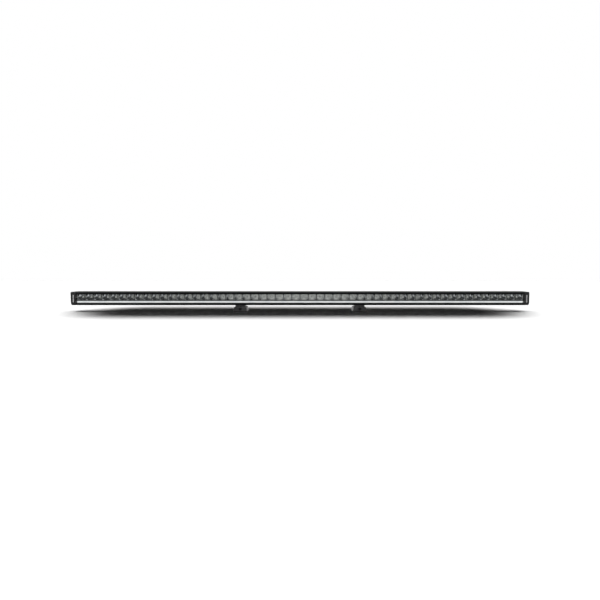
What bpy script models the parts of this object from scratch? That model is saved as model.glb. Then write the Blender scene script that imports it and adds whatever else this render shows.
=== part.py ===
"""A slim single-row LED light bar for a truck: an aluminium extrusion with a row of reflectors and an
opal position-light strip behind one clear lens, standing on two brackets that slide along a rail in its
underside and tilt on their feet.

+X runs along the bar, the light shines towards -Y, and +Z is up. The origin is in the middle of the bar,
at the level of the feet's soles.
"""

import math

import bmesh
import bpy

MM = 0.001
GAP = 0.3 * MM                      # clearance left between two pieces that touch
PAST = 1 * MM                       # how far a cutter reaches beyond what it cuts

# Driving dimensions of the bar. Heights in the bar's own section are measured up from its underside.
BAR_LENGTH = 1293 * MM
BAR_HEIGHT = 38 * MM
BAR_DEPTH = 54 * MM
BAR_CLEARANCE = 19 * MM             # from the soles of the feet to the underside of the bar
CAP_LENGTH = 16 * MM
CAP_GASKET = 0.9 * MM
FRONT = -BAR_DEPTH / 2
REAR = BAR_DEPTH / 2

# The extrusion's section
CHAMFER = 3.5 * MM
TOP_RADIUS = 1.5 * MM
LIP = 1.8 * MM                      # thickness of the lips that hold the lens
WINDOW = (6.8 * MM, 30.7 * MM)      # lower and upper edge of the lens opening
GROOVE = (4.0 * MM, 33.4 * MM)      # lower and upper end of the groove behind the lips
GROOVE_BACK = -22.0 * MM
SEAT = (5.8 * MM, 31.7 * MM)        # floor and ceiling of the optical chamber, just behind the groove
STEP_Y = -11.5 * MM
FLOOR = 9.7 * MM                    # floor of both chambers above the rail
CEILING = 35.0 * MM
BOARD_WALL = (0.0, 4.0 * MM)
REAR_WALL = (13.0 * MM, 16.5 * MM)
FIN_COUNT = 7
FIN_THICKNESS = 2.2 * MM
FIN_CROWN = 3.5 * MM                # how much shorter the outermost fins are
RAIL_MOUTH = 5.0 * MM               # half width of the slot in the underside
RAIL_CAVITY = 9.0 * MM              # half width of the rail behind it
RAIL_LIP = 2.2 * MM
RAIL_ROOF = 7.2 * MM

# End-cap screws: name, place in the section, shank radius, head radius
CAP_SCREWS = (
    ("top_front", -17.0 * MM, 34.3 * MM, 1.5 * MM, 2.6 * MM),
    ("bottom_front", -6.0 * MM, 10.3 * MM, 1.5 * MM, 2.6 * MM),
    ("top_rear", 12.4 * MM, 33.0 * MM, 2.0 * MM, 3.3 * MM),
    ("bottom_rear", 13.0 * MM, 5.3 * MM, 2.0 * MM, 3.3 * MM),
)

# End caps, measured outwards from their inner face
CAP_HEAD_SEAT = 8.5 * MM            # where the screw heads bear
CAP_HEAD_TALL = 3.0 * MM
CAP_SCREW_BITE = 9 * MM             # how far the screws reach into the extrusion
CAP_POCKET = (-20.5 * MM, -1.5 * MM, 14.5 * MM, 30.0 * MM)    # depth and height, in the bar's section
CAP_POCKET_DEEP = 5 * MM
CAP_RADIUS = 2.0 * MM
GASKET_REAR_WINDOW = (5.0 * MM, 8.0 * MM, 11.0 * MM, 28.0 * MM)
GASKET_INSET = 0.5 * MM
TRIM_ALONG = (4.2 * MM, 7.8 * MM)
TRIM_HEIGHT = (7.8 * MM, 29.2 * MM)
TRIM_DEEP = 1.6 * MM
TRIM_SUNK = 0.1 * MM                # how far the insert stands behind the cap's front
TRIM_RADIUS = 0.8 * MM

# Optics
CELL_COUNT = 54
CELLS_PER_REFLECTOR = 6
CELLS_PER_BOARD = 18
REFLECTOR_HEIGHT = (13.3 * MM, 31.4 * MM)
REFLECTOR_DEPTH = (-21.7 * MM, -3.0 * MM)
CELL_RIM = 0.5 * MM
CELL_THROAT = 3.0 * MM              # half width of the hole round each emitter
BOARD_DEPTH = (-2.7 * MM, -1.1 * MM)
BOARD_HEIGHT = (14.5 * MM, 30.3 * MM)
EMITTER_HALF = 1.725 * MM
EMITTER_TALL = 0.9 * MM
STRIP_HEIGHT = (6.1 * MM, 11.7 * MM)
DIVIDER_HEIGHT = (12.0 * MM, 13.0 * MM)
POSITION_LED_COUNT = 27
SOLDER_SINK = 0.2 * MM              # how far a soldered part's solid reaches into its board

# Driver board, with its blocks (x, width, lower and upper edge) and round capacitors (x)
DRIVER_DEPTH = (5.0 * MM, 6.6 * MM)
DRIVER_ENDS = (-190 * MM, 30 * MM)
DRIVER_HEIGHT = (10.5 * MM, 34.0 * MM)
DRIVER_PART_TALL = 5.4 * MM
DRIVER_BLOCKS = (
    (-170 * MM, 16 * MM, 13 * MM, 27 * MM),
    (-90 * MM, 22 * MM, 12 * MM, 28 * MM),
    (-30 * MM, 12 * MM, 14 * MM, 26 * MM),
)
CAPACITORS = (-140 * MM, -125 * MM, 0.0, 15 * MM)
CAPACITOR_Z = 20 * MM
CAPACITOR_RADIUS = 5 * MM

# Gland and vent, on the rear wall
GLAND_X = 60 * MM
VENT_X = -60 * MM
REAR_FITTING_Z = 19 * MM
SEAL_BORE = 1.7 * MM                # the seal's bore closes to this while no cable is in it
REAR_POCKET_HEIGHT = (8.9 * MM, 29.1 * MM)   # the fins are cut away between these round each fitting
GLAND_POCKET, VENT_POCKET = 13 * MM, 11 * MM   # half widths of those pockets
GLAND_HOLE, VENT_HOLE = 6.3 * MM, 4.5 * MM     # radii of the holes in the rear wall

# Brackets
BRACKET_X = 168.5 * MM
FOOT_WIDTH = (39.2 * MM, 35.6 * MM)  # at the sole and at the top
FOOT_DEPTH = 50 * MM
FOOT_TOP = 13.5 * MM
PAD_THICKNESS = 1.5 * MM
BASE_TOP = 3.9 * MM
FOOT_WALL = 4.0 * MM
BLOCK_WIDTH = 27.5 * MM
BLOCK_DEPTH = 36 * MM
BLOCK_UNDERSIDE = 12.3 * MM
PIVOT_Z = 8.6 * MM
PIVOT_RADIUS = 2.5 * MM
EYE_RADIUS = 4.3 * MM
RECESS_RADIUS = 4.3 * MM             # round the pivot bolt's head and nut
BOLT_SEAT = 16.1 * MM               # where the pivot bolt's head and nut bear on the foot's cheeks
BOLT_HEAD_RADIUS = 4.0 * MM
BOLT_SOCKET = 1.5 * MM              # half the width of the hexagon sockets of the pivot and lock screws
WASHER_THICK = 0.5 * MM
NUT_HALF = 3.5 * MM
NUT_TALL = 1.5 * MM
FOOT_RADIUS = 3 * MM
SIDE_PLAY = 0.4 * MM                # of the block in the rail, and of the foot beside the block
ROOF_PLAY = 0.6 * MM                # over the block's head in the rail
LOCK_HEAD = 2.4 * MM                # how far the lock screw's head stands out of the foot
LOCK_CHANNEL = (3.2 * MM, 15.4 * MM)  # half width and roof of the channel that clears the lock screw
JAM_SCREWS = (("front", -9.5 * MM, -12 * MM), ("rear", 9.5 * MM, 12 * MM))
JAM_RADIUS = 2.5 * MM
JAM_SOCKET = 1.25 * MM              # half the width of its hexagon socket
JAM_ACCESS = 1.8 * MM               # radius of the holes in the foot for the key that turns them
MOUNT_BOLT_Y = 14 * MM
MOUNT_BOLT_RADIUS = 3.4 * MM        # tapping drill of an M8 thread
MOUNT_BOSS = (6.0 * MM, 3.4 * MM)   # radius and height of the boss round it

SMALL_ROUND = 12                    # sides of screws and bores
LARGE_ROUND = 24

CELL_PITCH = (BAR_LENGTH - 2 * CAP_LENGTH - 2 * CAP_GASKET - 4 * GAP) / CELL_COUNT
BODY_HALF = BAR_LENGTH / 2 - CAP_LENGTH - CAP_GASKET - 2 * GAP   # half length of the extrusion
INSIDE_HALF = BODY_HALF - GAP

FINISHES = {                        # colour, roughness, metallic
    "black_anodised": ((0.012, 0.012, 0.013), 0.45, 0.6),
    "black_paint": ((0.02, 0.02, 0.021), 0.5, 0.0),
    "satin_metal": ((0.55, 0.55, 0.56), 0.35, 1.0),
    "chrome": ((0.85, 0.85, 0.86), 0.08, 1.0),
    "black_steel": ((0.03, 0.03, 0.03), 0.4, 0.8),
    "stainless": ((0.6, 0.6, 0.61), 0.25, 1.0),
    "black_plastic": ((0.015, 0.015, 0.015), 0.5, 0.0),
    "rubber": ((0.02, 0.02, 0.02), 0.8, 0.0),
    "clear_plastic": ((0.95, 0.95, 0.96), 0.05, 0.0),
    "opal_plastic": ((0.9, 0.9, 0.88), 0.4, 0.0),
    "white_board": ((0.8, 0.8, 0.78), 0.5, 0.0),
    "green_board": ((0.03, 0.16, 0.07), 0.45, 0.0),
    "grey_pad": ((0.35, 0.36, 0.38), 0.8, 0.0),
}


# Small tools ------------------------------------------------------------------------------------------


def clear_scene():
    for obj in list(bpy.data.objects):
        bpy.data.objects.remove(obj, do_unlink=True)


def material(name, finish):
    colour, roughness, metallic = FINISHES[finish]
    made = bpy.data.materials.new(name)
    made.use_nodes = True
    shader = made.node_tree.nodes["Principled BSDF"]
    shader.inputs["Base Color"].default_value = (*colour, 1.0)
    shader.inputs["Roughness"].default_value = roughness
    shader.inputs["Metallic"].default_value = metallic
    if finish == "clear_plastic":
        shader.inputs["Transmission Weight"].default_value = 0.9
    return made


def add_object(name, bm, finish=None, smooth=False):
    """An object from a bmesh. Without a finish it is a cutter, which no render shows."""
    bmesh.ops.recalc_face_normals(bm, faces=bm.faces)
    mesh = bpy.data.meshes.new(name)
    bm.to_mesh(mesh)
    bm.free()
    if smooth:
        mesh.shade_smooth()
        mesh.set_sharp_from_angle(angle=math.radians(35))
    obj = bpy.data.objects.new(name, mesh)
    bpy.context.scene.collection.objects.link(obj)
    if finish:
        mesh.materials.append(material(name + "_finish", finish))
    else:
        obj.hide_render = True
        obj.display_type = "WIRE"
    return obj


def place(u, v, w, axis):
    """A point with w along the axis and u, v across it, in X, Y, Z order."""
    return {"X": (w, u, v), "Y": (u, w, v), "Z": (u, v, w)}[axis]


def prism(outlines, axis, low, high):
    """A bmesh of a flat region pulled along an axis. The first outline bounds it, the others are holes."""
    bm = bmesh.new()
    edges = {low: [], high: []}
    for outline in outlines:
        rings = {end: [bm.verts.new(place(u, v, end, axis)) for u, v in outline] for end in (low, high)}
        count = len(outline)
        for i in range(count):
            j = (i + 1) % count
            for end in (low, high):
                edges[end].append(bm.edges.new((rings[end][i], rings[end][j])))
            bm.faces.new((rings[low][i], rings[low][j], rings[high][j], rings[high][i]))
    for end in (low, high):
        bmesh.ops.triangle_fill(bm, use_beauty=True, use_dissolve=False, edges=edges[end])
    return bm


def box(low, high):
    outline = rectangle(low[0], high[0], low[1], high[1])
    return prism([outline], "Z", low[2], high[2])


def rectangle(u0, u1, v0, v1):
    return [(u0, v0), (u1, v0), (u1, v1), (u0, v1)]


def circle(u, v, radius, sides=SMALL_ROUND):
    turns = (2 * math.pi * (i + 0.5) / sides for i in range(sides))
    return [(u + radius * math.cos(a), v + radius * math.sin(a)) for a in turns]


def arc(u, v, radius, start, end, steps):
    angles = (math.radians(start + (end - start) * i / steps) for i in range(steps + 1))
    return [(u + radius * math.cos(a), v + radius * math.sin(a)) for a in angles]


def rounded(u0, u1, v0, v1, radius, steps=3):
    """A rectangle with rounded corners."""
    return (
        arc(u0 + radius, v0 + radius, radius, 180, 270, steps)
        + arc(u1 - radius, v0 + radius, radius, 270, 360, steps)
        + arc(u1 - radius, v1 - radius, radius, 0, 90, steps)
        + arc(u0 + radius, v1 - radius, radius, 90, 180, steps)
    )


def turned(profile, axis, centre, sides=SMALL_ROUND, closed=False):
    """A bmesh turned about an axis through centre. A profile point is (radius, height) or, where the
    section is a hexagon, (half its width across flats, height, "hex"). A closed profile is a ring's
    section; an open one starts and ends on the axis."""
    bm = bmesh.new()
    rings = []
    for radius, height, *kind in profile:
        if radius == 0:
            rings.append([bm.verts.new(place(centre[0], centre[1], centre[2] + height, axis))])
            continue
        ring = []
        for i in range(sides):
            angle = 2 * math.pi * i / sides
            reach = radius / math.cos(angle % (math.pi / 3) - math.pi / 6) if kind else radius
            u = centre[0] + reach * math.cos(angle)
            v = centre[1] + reach * math.sin(angle)
            ring.append(bm.verts.new(place(u, v, centre[2] + height, axis)))
        rings.append(ring)
    pairs = list(zip(rings, rings[1:]))
    if closed:
        pairs.append((rings[-1], rings[0]))
    for one, two in pairs:
        for i in range(sides):
            j = (i + 1) % sides
            corners = [one[i % len(one)], one[j % len(one)], two[j % len(two)], two[i % len(two)]]
            bm.faces.new(list(dict.fromkeys(corners)))
    return bm


def cut(obj, cutter, operation="DIFFERENCE"):
    step = obj.modifiers.new(cutter.name, "BOOLEAN")
    step.operation = operation
    step.object = cutter
    cutter.parent = obj.parent


def cutter_group(name, shapes):
    """One cutter from several bmeshes that don't meet."""
    whole = bmesh.new()
    for shape in shapes:
        mesh = bpy.data.meshes.new(name + "_piece")
        bmesh.ops.recalc_face_normals(shape, faces=shape.faces)
        shape.to_mesh(mesh)
        shape.free()
        whole.from_mesh(mesh)
        bpy.data.meshes.remove(mesh)
    return add_object(name, whole)


def bar_z(height):
    """A height in the bar's section as a height above the soles."""
    return BAR_CLEARANCE + height


def section(points):
    """Points of the bar's section, moved up to the bar's place."""
    return [(y, bar_z(height)) for y, height in points]


# The bar ----------------------------------------------------------------------------------------------


def fin_tip(height):
    """How far back the fins reach at a height: furthest in the middle."""
    off_centre = height / (BAR_HEIGHT / 2) - 1
    return REAR - FIN_CROWN * off_centre**2


def fin_outline():
    """The finned back of the section, from its top to its underside."""
    points = []
    pitch = (BAR_HEIGHT - FIN_THICKNESS) / (FIN_COUNT - 1)
    for i in reversed(range(FIN_COUNT)):
        foot = i * pitch
        tip = fin_tip(foot + FIN_THICKNESS / 2)
        if i < FIN_COUNT - 1:
            points.append((REAR_WALL[1], foot + FIN_THICKNESS))
        points += [(tip, foot + FIN_THICKNESS), (tip, foot)]
        if i > 0:
            points.append((REAR_WALL[1], foot))
    return points


def housing_outline():
    lip_back = FRONT + LIP
    boss = (-8.6 * MM, -3.4 * MM, 12.9 * MM)     # raised strip that holds the lower front cap screw
    front_and_inside = [
        (FRONT, CHAMFER),
        (FRONT, WINDOW[0]),
        (lip_back, WINDOW[0]),
        (lip_back, GROOVE[0]),
        (GROOVE_BACK, GROOVE[0]),
        (GROOVE_BACK, SEAT[0]),
        (STEP_Y, SEAT[0]),
        (STEP_Y, FLOOR),
        (boss[0], FLOOR),
        (boss[0], boss[2]),
        (boss[1], boss[2]),
        (boss[1], FLOOR),
        (BOARD_WALL[0], FLOOR),
        (BOARD_WALL[0], CEILING),
        (STEP_Y, CEILING),
        (STEP_Y, SEAT[1]),
        (GROOVE_BACK, SEAT[1]),
        (GROOVE_BACK, GROOVE[1]),
        (lip_back, GROOVE[1]),
        (lip_back, WINDOW[1]),
        (FRONT, WINDOW[1]),
    ]
    top_edge = arc(FRONT + TOP_RADIUS, BAR_HEIGHT - TOP_RADIUS, TOP_RADIUS, 180, 90, 3)
    rail = [
        (RAIL_MOUTH, 0),
        (RAIL_MOUTH, RAIL_LIP),
        (RAIL_CAVITY, RAIL_LIP),
        (RAIL_CAVITY, RAIL_ROOF),
        (-RAIL_CAVITY, RAIL_ROOF),
        (-RAIL_CAVITY, RAIL_LIP),
        (-RAIL_MOUTH, RAIL_LIP),
        (-RAIL_MOUTH, 0),
        (FRONT + CHAMFER, 0),
    ]
    return front_and_inside + top_edge + fin_outline() + rail


def driver_chamber():
    """The closed chamber behind the board wall, with a corner left solid for the upper rear cap screw."""
    corner = (8.8 * MM, 29.3 * MM)
    return [
        (BOARD_WALL[1], FLOOR),
        (REAR_WALL[0], FLOOR),
        (REAR_WALL[0], corner[1]),
        (corner[0], corner[1]),
        (corner[0], CEILING),
        (BOARD_WALL[1], CEILING),
    ]


def screw_holes(allowance=GAP):
    return [circle(y, h, radius + allowance) for _, y, h, radius, _ in CAP_SCREWS]


def make_housing():
    holes = [section(hole) for hole in [driver_chamber()] + screw_holes()]
    bm = prism([section(housing_outline())] + holes, "X", -BODY_HALF, BODY_HALF)
    housing = add_object("housing", bm, "black_anodised")
    cuts = []
    for x, half, hole_radius in ((GLAND_X, GLAND_POCKET, GLAND_HOLE), (VENT_X, VENT_POCKET, VENT_HOLE)):
        low = (x - half, REAR_WALL[1], bar_z(REAR_POCKET_HEIGHT[0]))
        high = (x + half, REAR + PAST, bar_z(REAR_POCKET_HEIGHT[1]))
        cuts.append(box(low, high))
        hole = circle(x, bar_z(REAR_FITTING_Z), hole_radius, LARGE_ROUND)
        cuts.append(prism([hole], "Y", REAR_WALL[0] - PAST, REAR_WALL[1] + PAST))
    # A pocket and its hole meet, so each is its own cutter.
    for i, shape in enumerate(cuts):
        cut(housing, add_object(f"rear_cutter_{i}", shape))


def cap_outline(inset):
    """The end cap's section, drawn in from every side and most of all from below. It has the extrusion's
    chamfer along its lower front edge and follows the fins' tips at the back."""
    low_y = FRONT + inset
    low_h, high_h = 1.25 * inset, BAR_HEIGHT - 0.85 * inset
    radius = CAP_RADIUS
    back = [low_h + radius + (high_h - low_h - 2 * radius) * i / 4 for i in range(1, 4)]
    return (
        [(low_y, low_h + CHAMFER), (low_y + CHAMFER, low_h)]
        + arc(fin_tip(low_h) - inset - radius, low_h + radius, radius, 270, 360, 3)
        + [(fin_tip(height) - inset, height) for height in back]
        + arc(fin_tip(high_h) - inset - radius, high_h - radius, radius, 0, 90, 3)
        + arc(low_y + TOP_RADIUS, high_h - TOP_RADIUS, TOP_RADIUS, 90, 180, 3)
    )


def end_cap(side):
    """Rings of the cap's section, from its flat inner face out to its domed end."""
    start = BODY_HALF + CAP_GASKET + 2 * GAP
    stations = (
        (0.0, 0.0),
        (CAP_LENGTH - 5.6 * MM, 0.0),
        (CAP_LENGTH - 3.8 * MM, 0.5 * MM),
        (CAP_LENGTH - 2.3 * MM, 1.6 * MM),
        (CAP_LENGTH - 1.1 * MM, 3.8 * MM),
        (CAP_LENGTH - 0.3 * MM, 8.0 * MM),
        (CAP_LENGTH, 14.0 * MM),
    )
    bm = bmesh.new()
    rings = []
    for along, inset in stations:
        rings.append([bm.verts.new((side * (start + along), y, z)) for y, z in section(cap_outline(inset))])
    for one, two in zip(rings, rings[1:]):
        for i in range(len(one)):
            j = (i + 1) % len(one)
            bm.faces.new((one[i], one[j], two[j], two[i]))
    bm.faces.new(rings[0])
    bm.faces.new(rings[-1])
    return bm


def make_end(side, word):
    """The cap, gasket, trim and screws at one end; side is -1 at the left and +1 at the right."""
    inner = BODY_HALF + CAP_GASKET + 2 * GAP
    outer = BAR_LENGTH / 2
    seat = inner + CAP_HEAD_SEAT
    under_head = seat + GAP
    socket_floor = under_head + 0.4 * CAP_HEAD_TALL
    head_corner = under_head + 0.85 * CAP_HEAD_TALL
    head_top = under_head + CAP_HEAD_TALL
    tip = BODY_HALF - CAP_SCREW_BITE
    tip_taper = 0.6 * MM
    cap = add_object("end_cap_" + word, end_cap(side), "black_paint", smooth=True)

    bores = []
    for name, y, h, radius, head in CAP_SCREWS:
        bore = [
            (0, inner - PAST),
            (radius + GAP, inner - PAST),
            (radius + GAP, seat),
            (head + GAP, seat),
            (head + GAP, outer + PAST),
            (0, outer + PAST),
        ]
        bore = [(r, side * along) for r, along in bore]
        bores.append(turned(bore, "X", (y, bar_z(h), 0)))
        narrow = 0.8 * radius                 # the socket's half width, and the radius of the tip
        screw = [
            (0, tip),
            (narrow, tip),
            (radius, tip + tip_taper),
            (radius, under_head),
            (head, under_head),
            (head, head_corner),
            (head * 0.88, head_top),
            (narrow, head_top, "hex"),
            (narrow, socket_floor, "hex"),
            (0, socket_floor),
        ]
        screw = [(p[0], side * p[1], *p[2:]) for p in screw]
        bm = turned(screw, "X", (y, bar_z(h), 0))
        add_object(f"cap_screw_{word}_{name}", bm, "black_steel", smooth=True)
    cut(cap, cutter_group("cap_bores_" + word, bores))

    pocket = section(rectangle(*CAP_POCKET))
    ends = sorted((side * (inner - PAST), side * (inner + CAP_POCKET_DEEP)))
    cut(cap, add_object("cap_pocket_" + word, prism([pocket], "X", *ends)))

    left, right = sorted(side * (inner + along) for along in TRIM_ALONG)
    low, high = (bar_z(height) for height in TRIM_HEIGHT)
    slot = rectangle(left, right, low, high)
    cut(cap, add_object("trim_slot_" + word, prism([slot], "Y", FRONT - PAST, FRONT + TRIM_DEEP)))
    insert = rounded(left + GAP, right - GAP, low + GAP, high - GAP, TRIM_RADIUS)
    bm = prism([insert], "Y", FRONT + TRIM_SUNK, FRONT + TRIM_DEEP - GAP)
    add_object("end_trim_" + word, bm, "satin_metal")

    windows = [rectangle(*CAP_POCKET), rectangle(*GASKET_REAR_WINDOW)]
    screws = screw_holes(GASKET_INSET)
    outlines = [section(outline) for outline in [cap_outline(GASKET_INSET)] + windows + screws]
    ends = sorted((side * (BODY_HALF + GAP), side * (BODY_HALF + GAP + CAP_GASKET)))
    add_object("end_gasket_" + word, prism(outlines, "X", *ends), "rubber")


def make_lens():
    flange = (FRONT + LIP + GAP, -23.4 * MM)
    face = FRONT + 0.3 * MM
    low, high = WINDOW[0] + GAP, WINDOW[1] - GAP
    soft = 0.5 * MM
    outline = (
        [(flange[1], GROOVE[0] + GAP), (flange[0], GROOVE[0] + GAP), (flange[0], low)]
        + [(face + soft, low), (face, low + soft), (face, high - soft), (face + soft, high)]
        + [(flange[0], high), (flange[0], GROOVE[1] - GAP), (flange[1], GROOVE[1] - GAP)]
    )
    add_object("lens", prism([section(outline)], "X", -INSIDE_HALF, INSIDE_HALF), "clear_plastic")

    outer = rectangle(-INSIDE_HALF, INSIDE_HALF, bar_z(GROOVE[0] + GAP), bar_z(GROOVE[1] - GAP))
    wide = 1.2 * MM
    inner = rectangle(
        wide - INSIDE_HALF, INSIDE_HALF - wide, bar_z(GROOVE[0] + GAP + wide), bar_z(GROOVE[1] - GAP - wide)
    )
    bm = prism([outer, inner], "Y", flange[1] + GAP, GROOVE_BACK - GAP)
    add_object("lens_gasket", bm, "rubber")


def cell_ring(x, half_wide, half_tall, cut_off):
    """The eight corners of a cell's opening: a rectangle with its corners cut off."""
    z = bar_z(sum(REFLECTOR_HEIGHT) / 2)
    cx = half_wide * cut_off
    cz = half_tall * cut_off
    return [
        (x - half_wide + cx, z - half_tall),
        (x + half_wide - cx, z - half_tall),
        (x + half_wide, z - half_tall + cz),
        (x + half_wide, z + half_tall - cz),
        (x + half_wide - cx, z + half_tall),
        (x - half_wide + cx, z + half_tall),
        (x - half_wide, z + half_tall - cz),
        (x - half_wide, z - half_tall + cz),
    ]


def reflector(first_x, last_x, cell_xs):
    """A block of cups: each opens wide at the front and narrows to the hole round its emitter."""
    front, back = REFLECTOR_DEPTH
    half_tall = (REFLECTOR_HEIGHT[1] - REFLECTOR_HEIGHT[0]) / 2 - CELL_RIM
    half_wide = CELL_PITCH / 2 - CELL_RIM
    stations = ((front, 1.0, 0.12), (front + 0.55 * (back - front), 0.7, 0.35), (back, 0.0, 0.5))
    bm = bmesh.new()
    edges = {front: [], back: []}

    def ring_of(points, y):
        ring = [bm.verts.new((x, y, z)) for x, z in points]
        if y in edges:
            edges[y] += [bm.edges.new((ring[i - 1], ring[i])) for i in range(len(ring))]
        return ring

    def skin(one, two):
        for i in range(len(one)):
            bm.faces.new((one[i - 1], one[i], two[i], two[i - 1]))

    frame = rectangle(first_x, last_x, bar_z(REFLECTOR_HEIGHT[0]), bar_z(REFLECTOR_HEIGHT[1]))
    skin(ring_of(frame, front), ring_of(frame, back))
    for x in cell_xs:
        rings = []
        for y, share, cut_off in stations:
            wide = CELL_THROAT + share * (half_wide - CELL_THROAT)
            tall = CELL_THROAT + share * (half_tall - CELL_THROAT)
            rings.append(ring_of(cell_ring(x, wide, tall, cut_off), y))
        for one, two in zip(rings, rings[1:]):
            skin(one, two)
    for loop in edges.values():
        bmesh.ops.triangle_fill(bm, use_beauty=True, use_dissolve=False, edges=loop)
    return bm


def cell_x(index):
    return (index - (CELL_COUNT - 1) / 2) * CELL_PITCH


def make_reflectors():
    for number in range(CELL_COUNT // CELLS_PER_REFLECTOR):
        first = number * CELLS_PER_REFLECTOR
        cells = [cell_x(first + i) for i in range(CELLS_PER_REFLECTOR)]
        half_gap = GAP / 2
        low = cells[0] - CELL_PITCH / 2 + half_gap
        high = cells[-1] + CELL_PITCH / 2 - half_gap
        low = max(low, -INSIDE_HALF)
        high = min(high, INSIDE_HALF)
        add_object(f"reflector_{number + 1}", reflector(low, high, cells), "chrome")


def populated_board(name, outline, depth, parts, finish):
    """A circuit board standing across Y, joined to what is soldered on it."""
    board = add_object(name, prism([outline], "Y", *depth), finish)
    soldered = cutter_group(name + "_soldered", parts)
    cut(board, soldered, "UNION")
    return board


def make_led_boards():
    mid = bar_z(sum(REFLECTOR_HEIGHT) / 2)
    for number in range(CELL_COUNT // CELLS_PER_BOARD):
        cells = [cell_x(number * CELLS_PER_BOARD + i) for i in range(CELLS_PER_BOARD)]
        edge = CELL_PITCH / 2 - 1.5 * GAP
        outline = rectangle(cells[0] - edge, cells[-1] + edge, bar_z(BOARD_HEIGHT[0]), bar_z(BOARD_HEIGHT[1]))
        emitters = []
        for x in cells:
            spot = rectangle(x - EMITTER_HALF, x + EMITTER_HALF, mid - EMITTER_HALF, mid + EMITTER_HALF)
            emitters.append(prism([spot], "Y", BOARD_DEPTH[0] - EMITTER_TALL, BOARD_DEPTH[0] + SOLDER_SINK))
        populated_board(f"led_board_{number + 1}", outline, BOARD_DEPTH, emitters, "white_board")

    pad = rectangle(-INSIDE_HALF + MM, INSIDE_HALF - MM, bar_z(BOARD_HEIGHT[0]), bar_z(BOARD_HEIGHT[1]))
    add_object("thermal_pad", prism([pad], "Y", BOARD_DEPTH[1] + GAP, BOARD_WALL[0] - GAP), "grey_pad")


def make_position_light():
    front = REFLECTOR_DEPTH[0]
    crown = 1.2 * MM
    low, high = STRIP_HEIGHT
    strip_back = -16.2 * MM
    profile = [
        (strip_back, low),
        (front + crown, low),
        (front, low + crown),
        (front, high - crown),
        (front + crown, high),
        (strip_back, high),
    ]
    bm = prism([section(profile)], "X", -INSIDE_HALF, INSIDE_HALF)
    add_object("position_light_diffuser", bm, "opal_plastic")

    board_depth = (-15.0 * MM, -14.0 * MM)
    led_half, led_tall = 1.1 * MM, 0.7 * MM
    mid = bar_z((low + high) / 2)
    pitch = 2 * INSIDE_HALF / POSITION_LED_COUNT
    leds = []
    for i in range(POSITION_LED_COUNT):
        x = (i - (POSITION_LED_COUNT - 1) / 2) * pitch
        spot = rectangle(x - led_half, x + led_half, mid - led_half, mid + led_half)
        leds.append(prism([spot], "Y", board_depth[0] - led_tall, board_depth[0] + SOLDER_SINK))
    outline = rectangle(-INSIDE_HALF + MM, INSIDE_HALF - MM, bar_z(low), bar_z(high))
    populated_board("position_light_board", outline, board_depth, leds, "white_board")

    rail = rectangle(front, -14.0 * MM, bar_z(DIVIDER_HEIGHT[0]), bar_z(DIVIDER_HEIGHT[1]))
    add_object("light_divider", prism([rail], "X", -INSIDE_HALF, INSIDE_HALF), "black_plastic")


def make_driver():
    low, high = (bar_z(height) for height in DRIVER_HEIGHT)
    back = DRIVER_DEPTH[1]
    spots = [
        rectangle(x - wide / 2, x + wide / 2, bar_z(bottom), bar_z(top))
        for x, wide, bottom, top in DRIVER_BLOCKS
    ]
    spots += [circle(x, bar_z(CAPACITOR_Z), CAPACITOR_RADIUS) for x in CAPACITORS]
    parts = [prism([spot], "Y", back - GAP, back + DRIVER_PART_TALL) for spot in spots]
    outline = rectangle(*DRIVER_ENDS, low, high)
    populated_board("driver_board", outline, DRIVER_DEPTH, parts, "green_board")


def make_rear_fittings():
    wall = REAR_WALL[1]
    bore = 3.6 * MM
    thread = 5.6 * MM
    hex_half = 7.5 * MM
    nut_seat = wall + 3.4 * MM
    reach = FOOT_DEPTH / 2 + GAP + LOCK_HEAD       # level with the fins' tips
    body = [
        (bore, REAR_WALL[0] - 0.6 * MM),
        (6.0 * MM, REAR_WALL[0] - 0.6 * MM),
        (6.0 * MM, wall + GAP),
        (hex_half, wall + GAP, "hex"),
        (hex_half, nut_seat - GAP, "hex"),
        (thread, nut_seat - GAP),
        (thread, nut_seat + 3.0 * MM),
        (bore, nut_seat + 3.0 * MM),
    ]
    centre = (GLAND_X, bar_z(REAR_FITTING_Z), 0)
    bm = turned(body, "Y", centre, LARGE_ROUND, closed=True)
    add_object("cable_gland", bm, "black_plastic", smooth=True)
    nut = [
        (thread + GAP, nut_seat),
        (hex_half, nut_seat, "hex"),
        (hex_half, nut_seat + 4.4 * MM, "hex"),
        (6.3 * MM, nut_seat + 5.4 * MM),
        (5.2 * MM, reach - 0.6 * MM),
        (3.9 * MM, reach),
        (3.9 * MM, nut_seat + 3.6 * MM),
        (thread + GAP, nut_seat + 3.6 * MM),
    ]
    bm = turned(nut, "Y", centre, LARGE_ROUND, closed=True)
    add_object("gland_nut", bm, "black_plastic", smooth=True)
    seal = [
        (SEAL_BORE, REAR_WALL[0]),
        (bore - GAP, REAR_WALL[0]),
        (bore - GAP, reach - 0.8 * MM),
        (SEAL_BORE, reach - 0.8 * MM),
    ]
    bm = turned(seal, "Y", centre, SMALL_ROUND, closed=True)
    add_object("gland_seal", bm, "rubber", smooth=True)

    vent = [
        (0, REAR_WALL[0] - 0.6 * MM),
        (4.2 * MM, REAR_WALL[0] - 0.6 * MM),
        (4.2 * MM, wall + GAP),
        (7.0 * MM, wall + GAP),
        (7.0 * MM, wall + 1.8 * MM),
        (5.6 * MM, wall + 2.2 * MM),
        (5.2 * MM, wall + 4.4 * MM),
        (4.2 * MM, wall + 5.0 * MM),
        (0, wall + 5.0 * MM),
    ]
    bm = turned(vent, "Y", (VENT_X, bar_z(REAR_FITTING_Z), 0), LARGE_ROUND)
    add_object("breather_vent", bm, "black_plastic", smooth=True)


# The brackets -----------------------------------------------------------------------------------------


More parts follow.
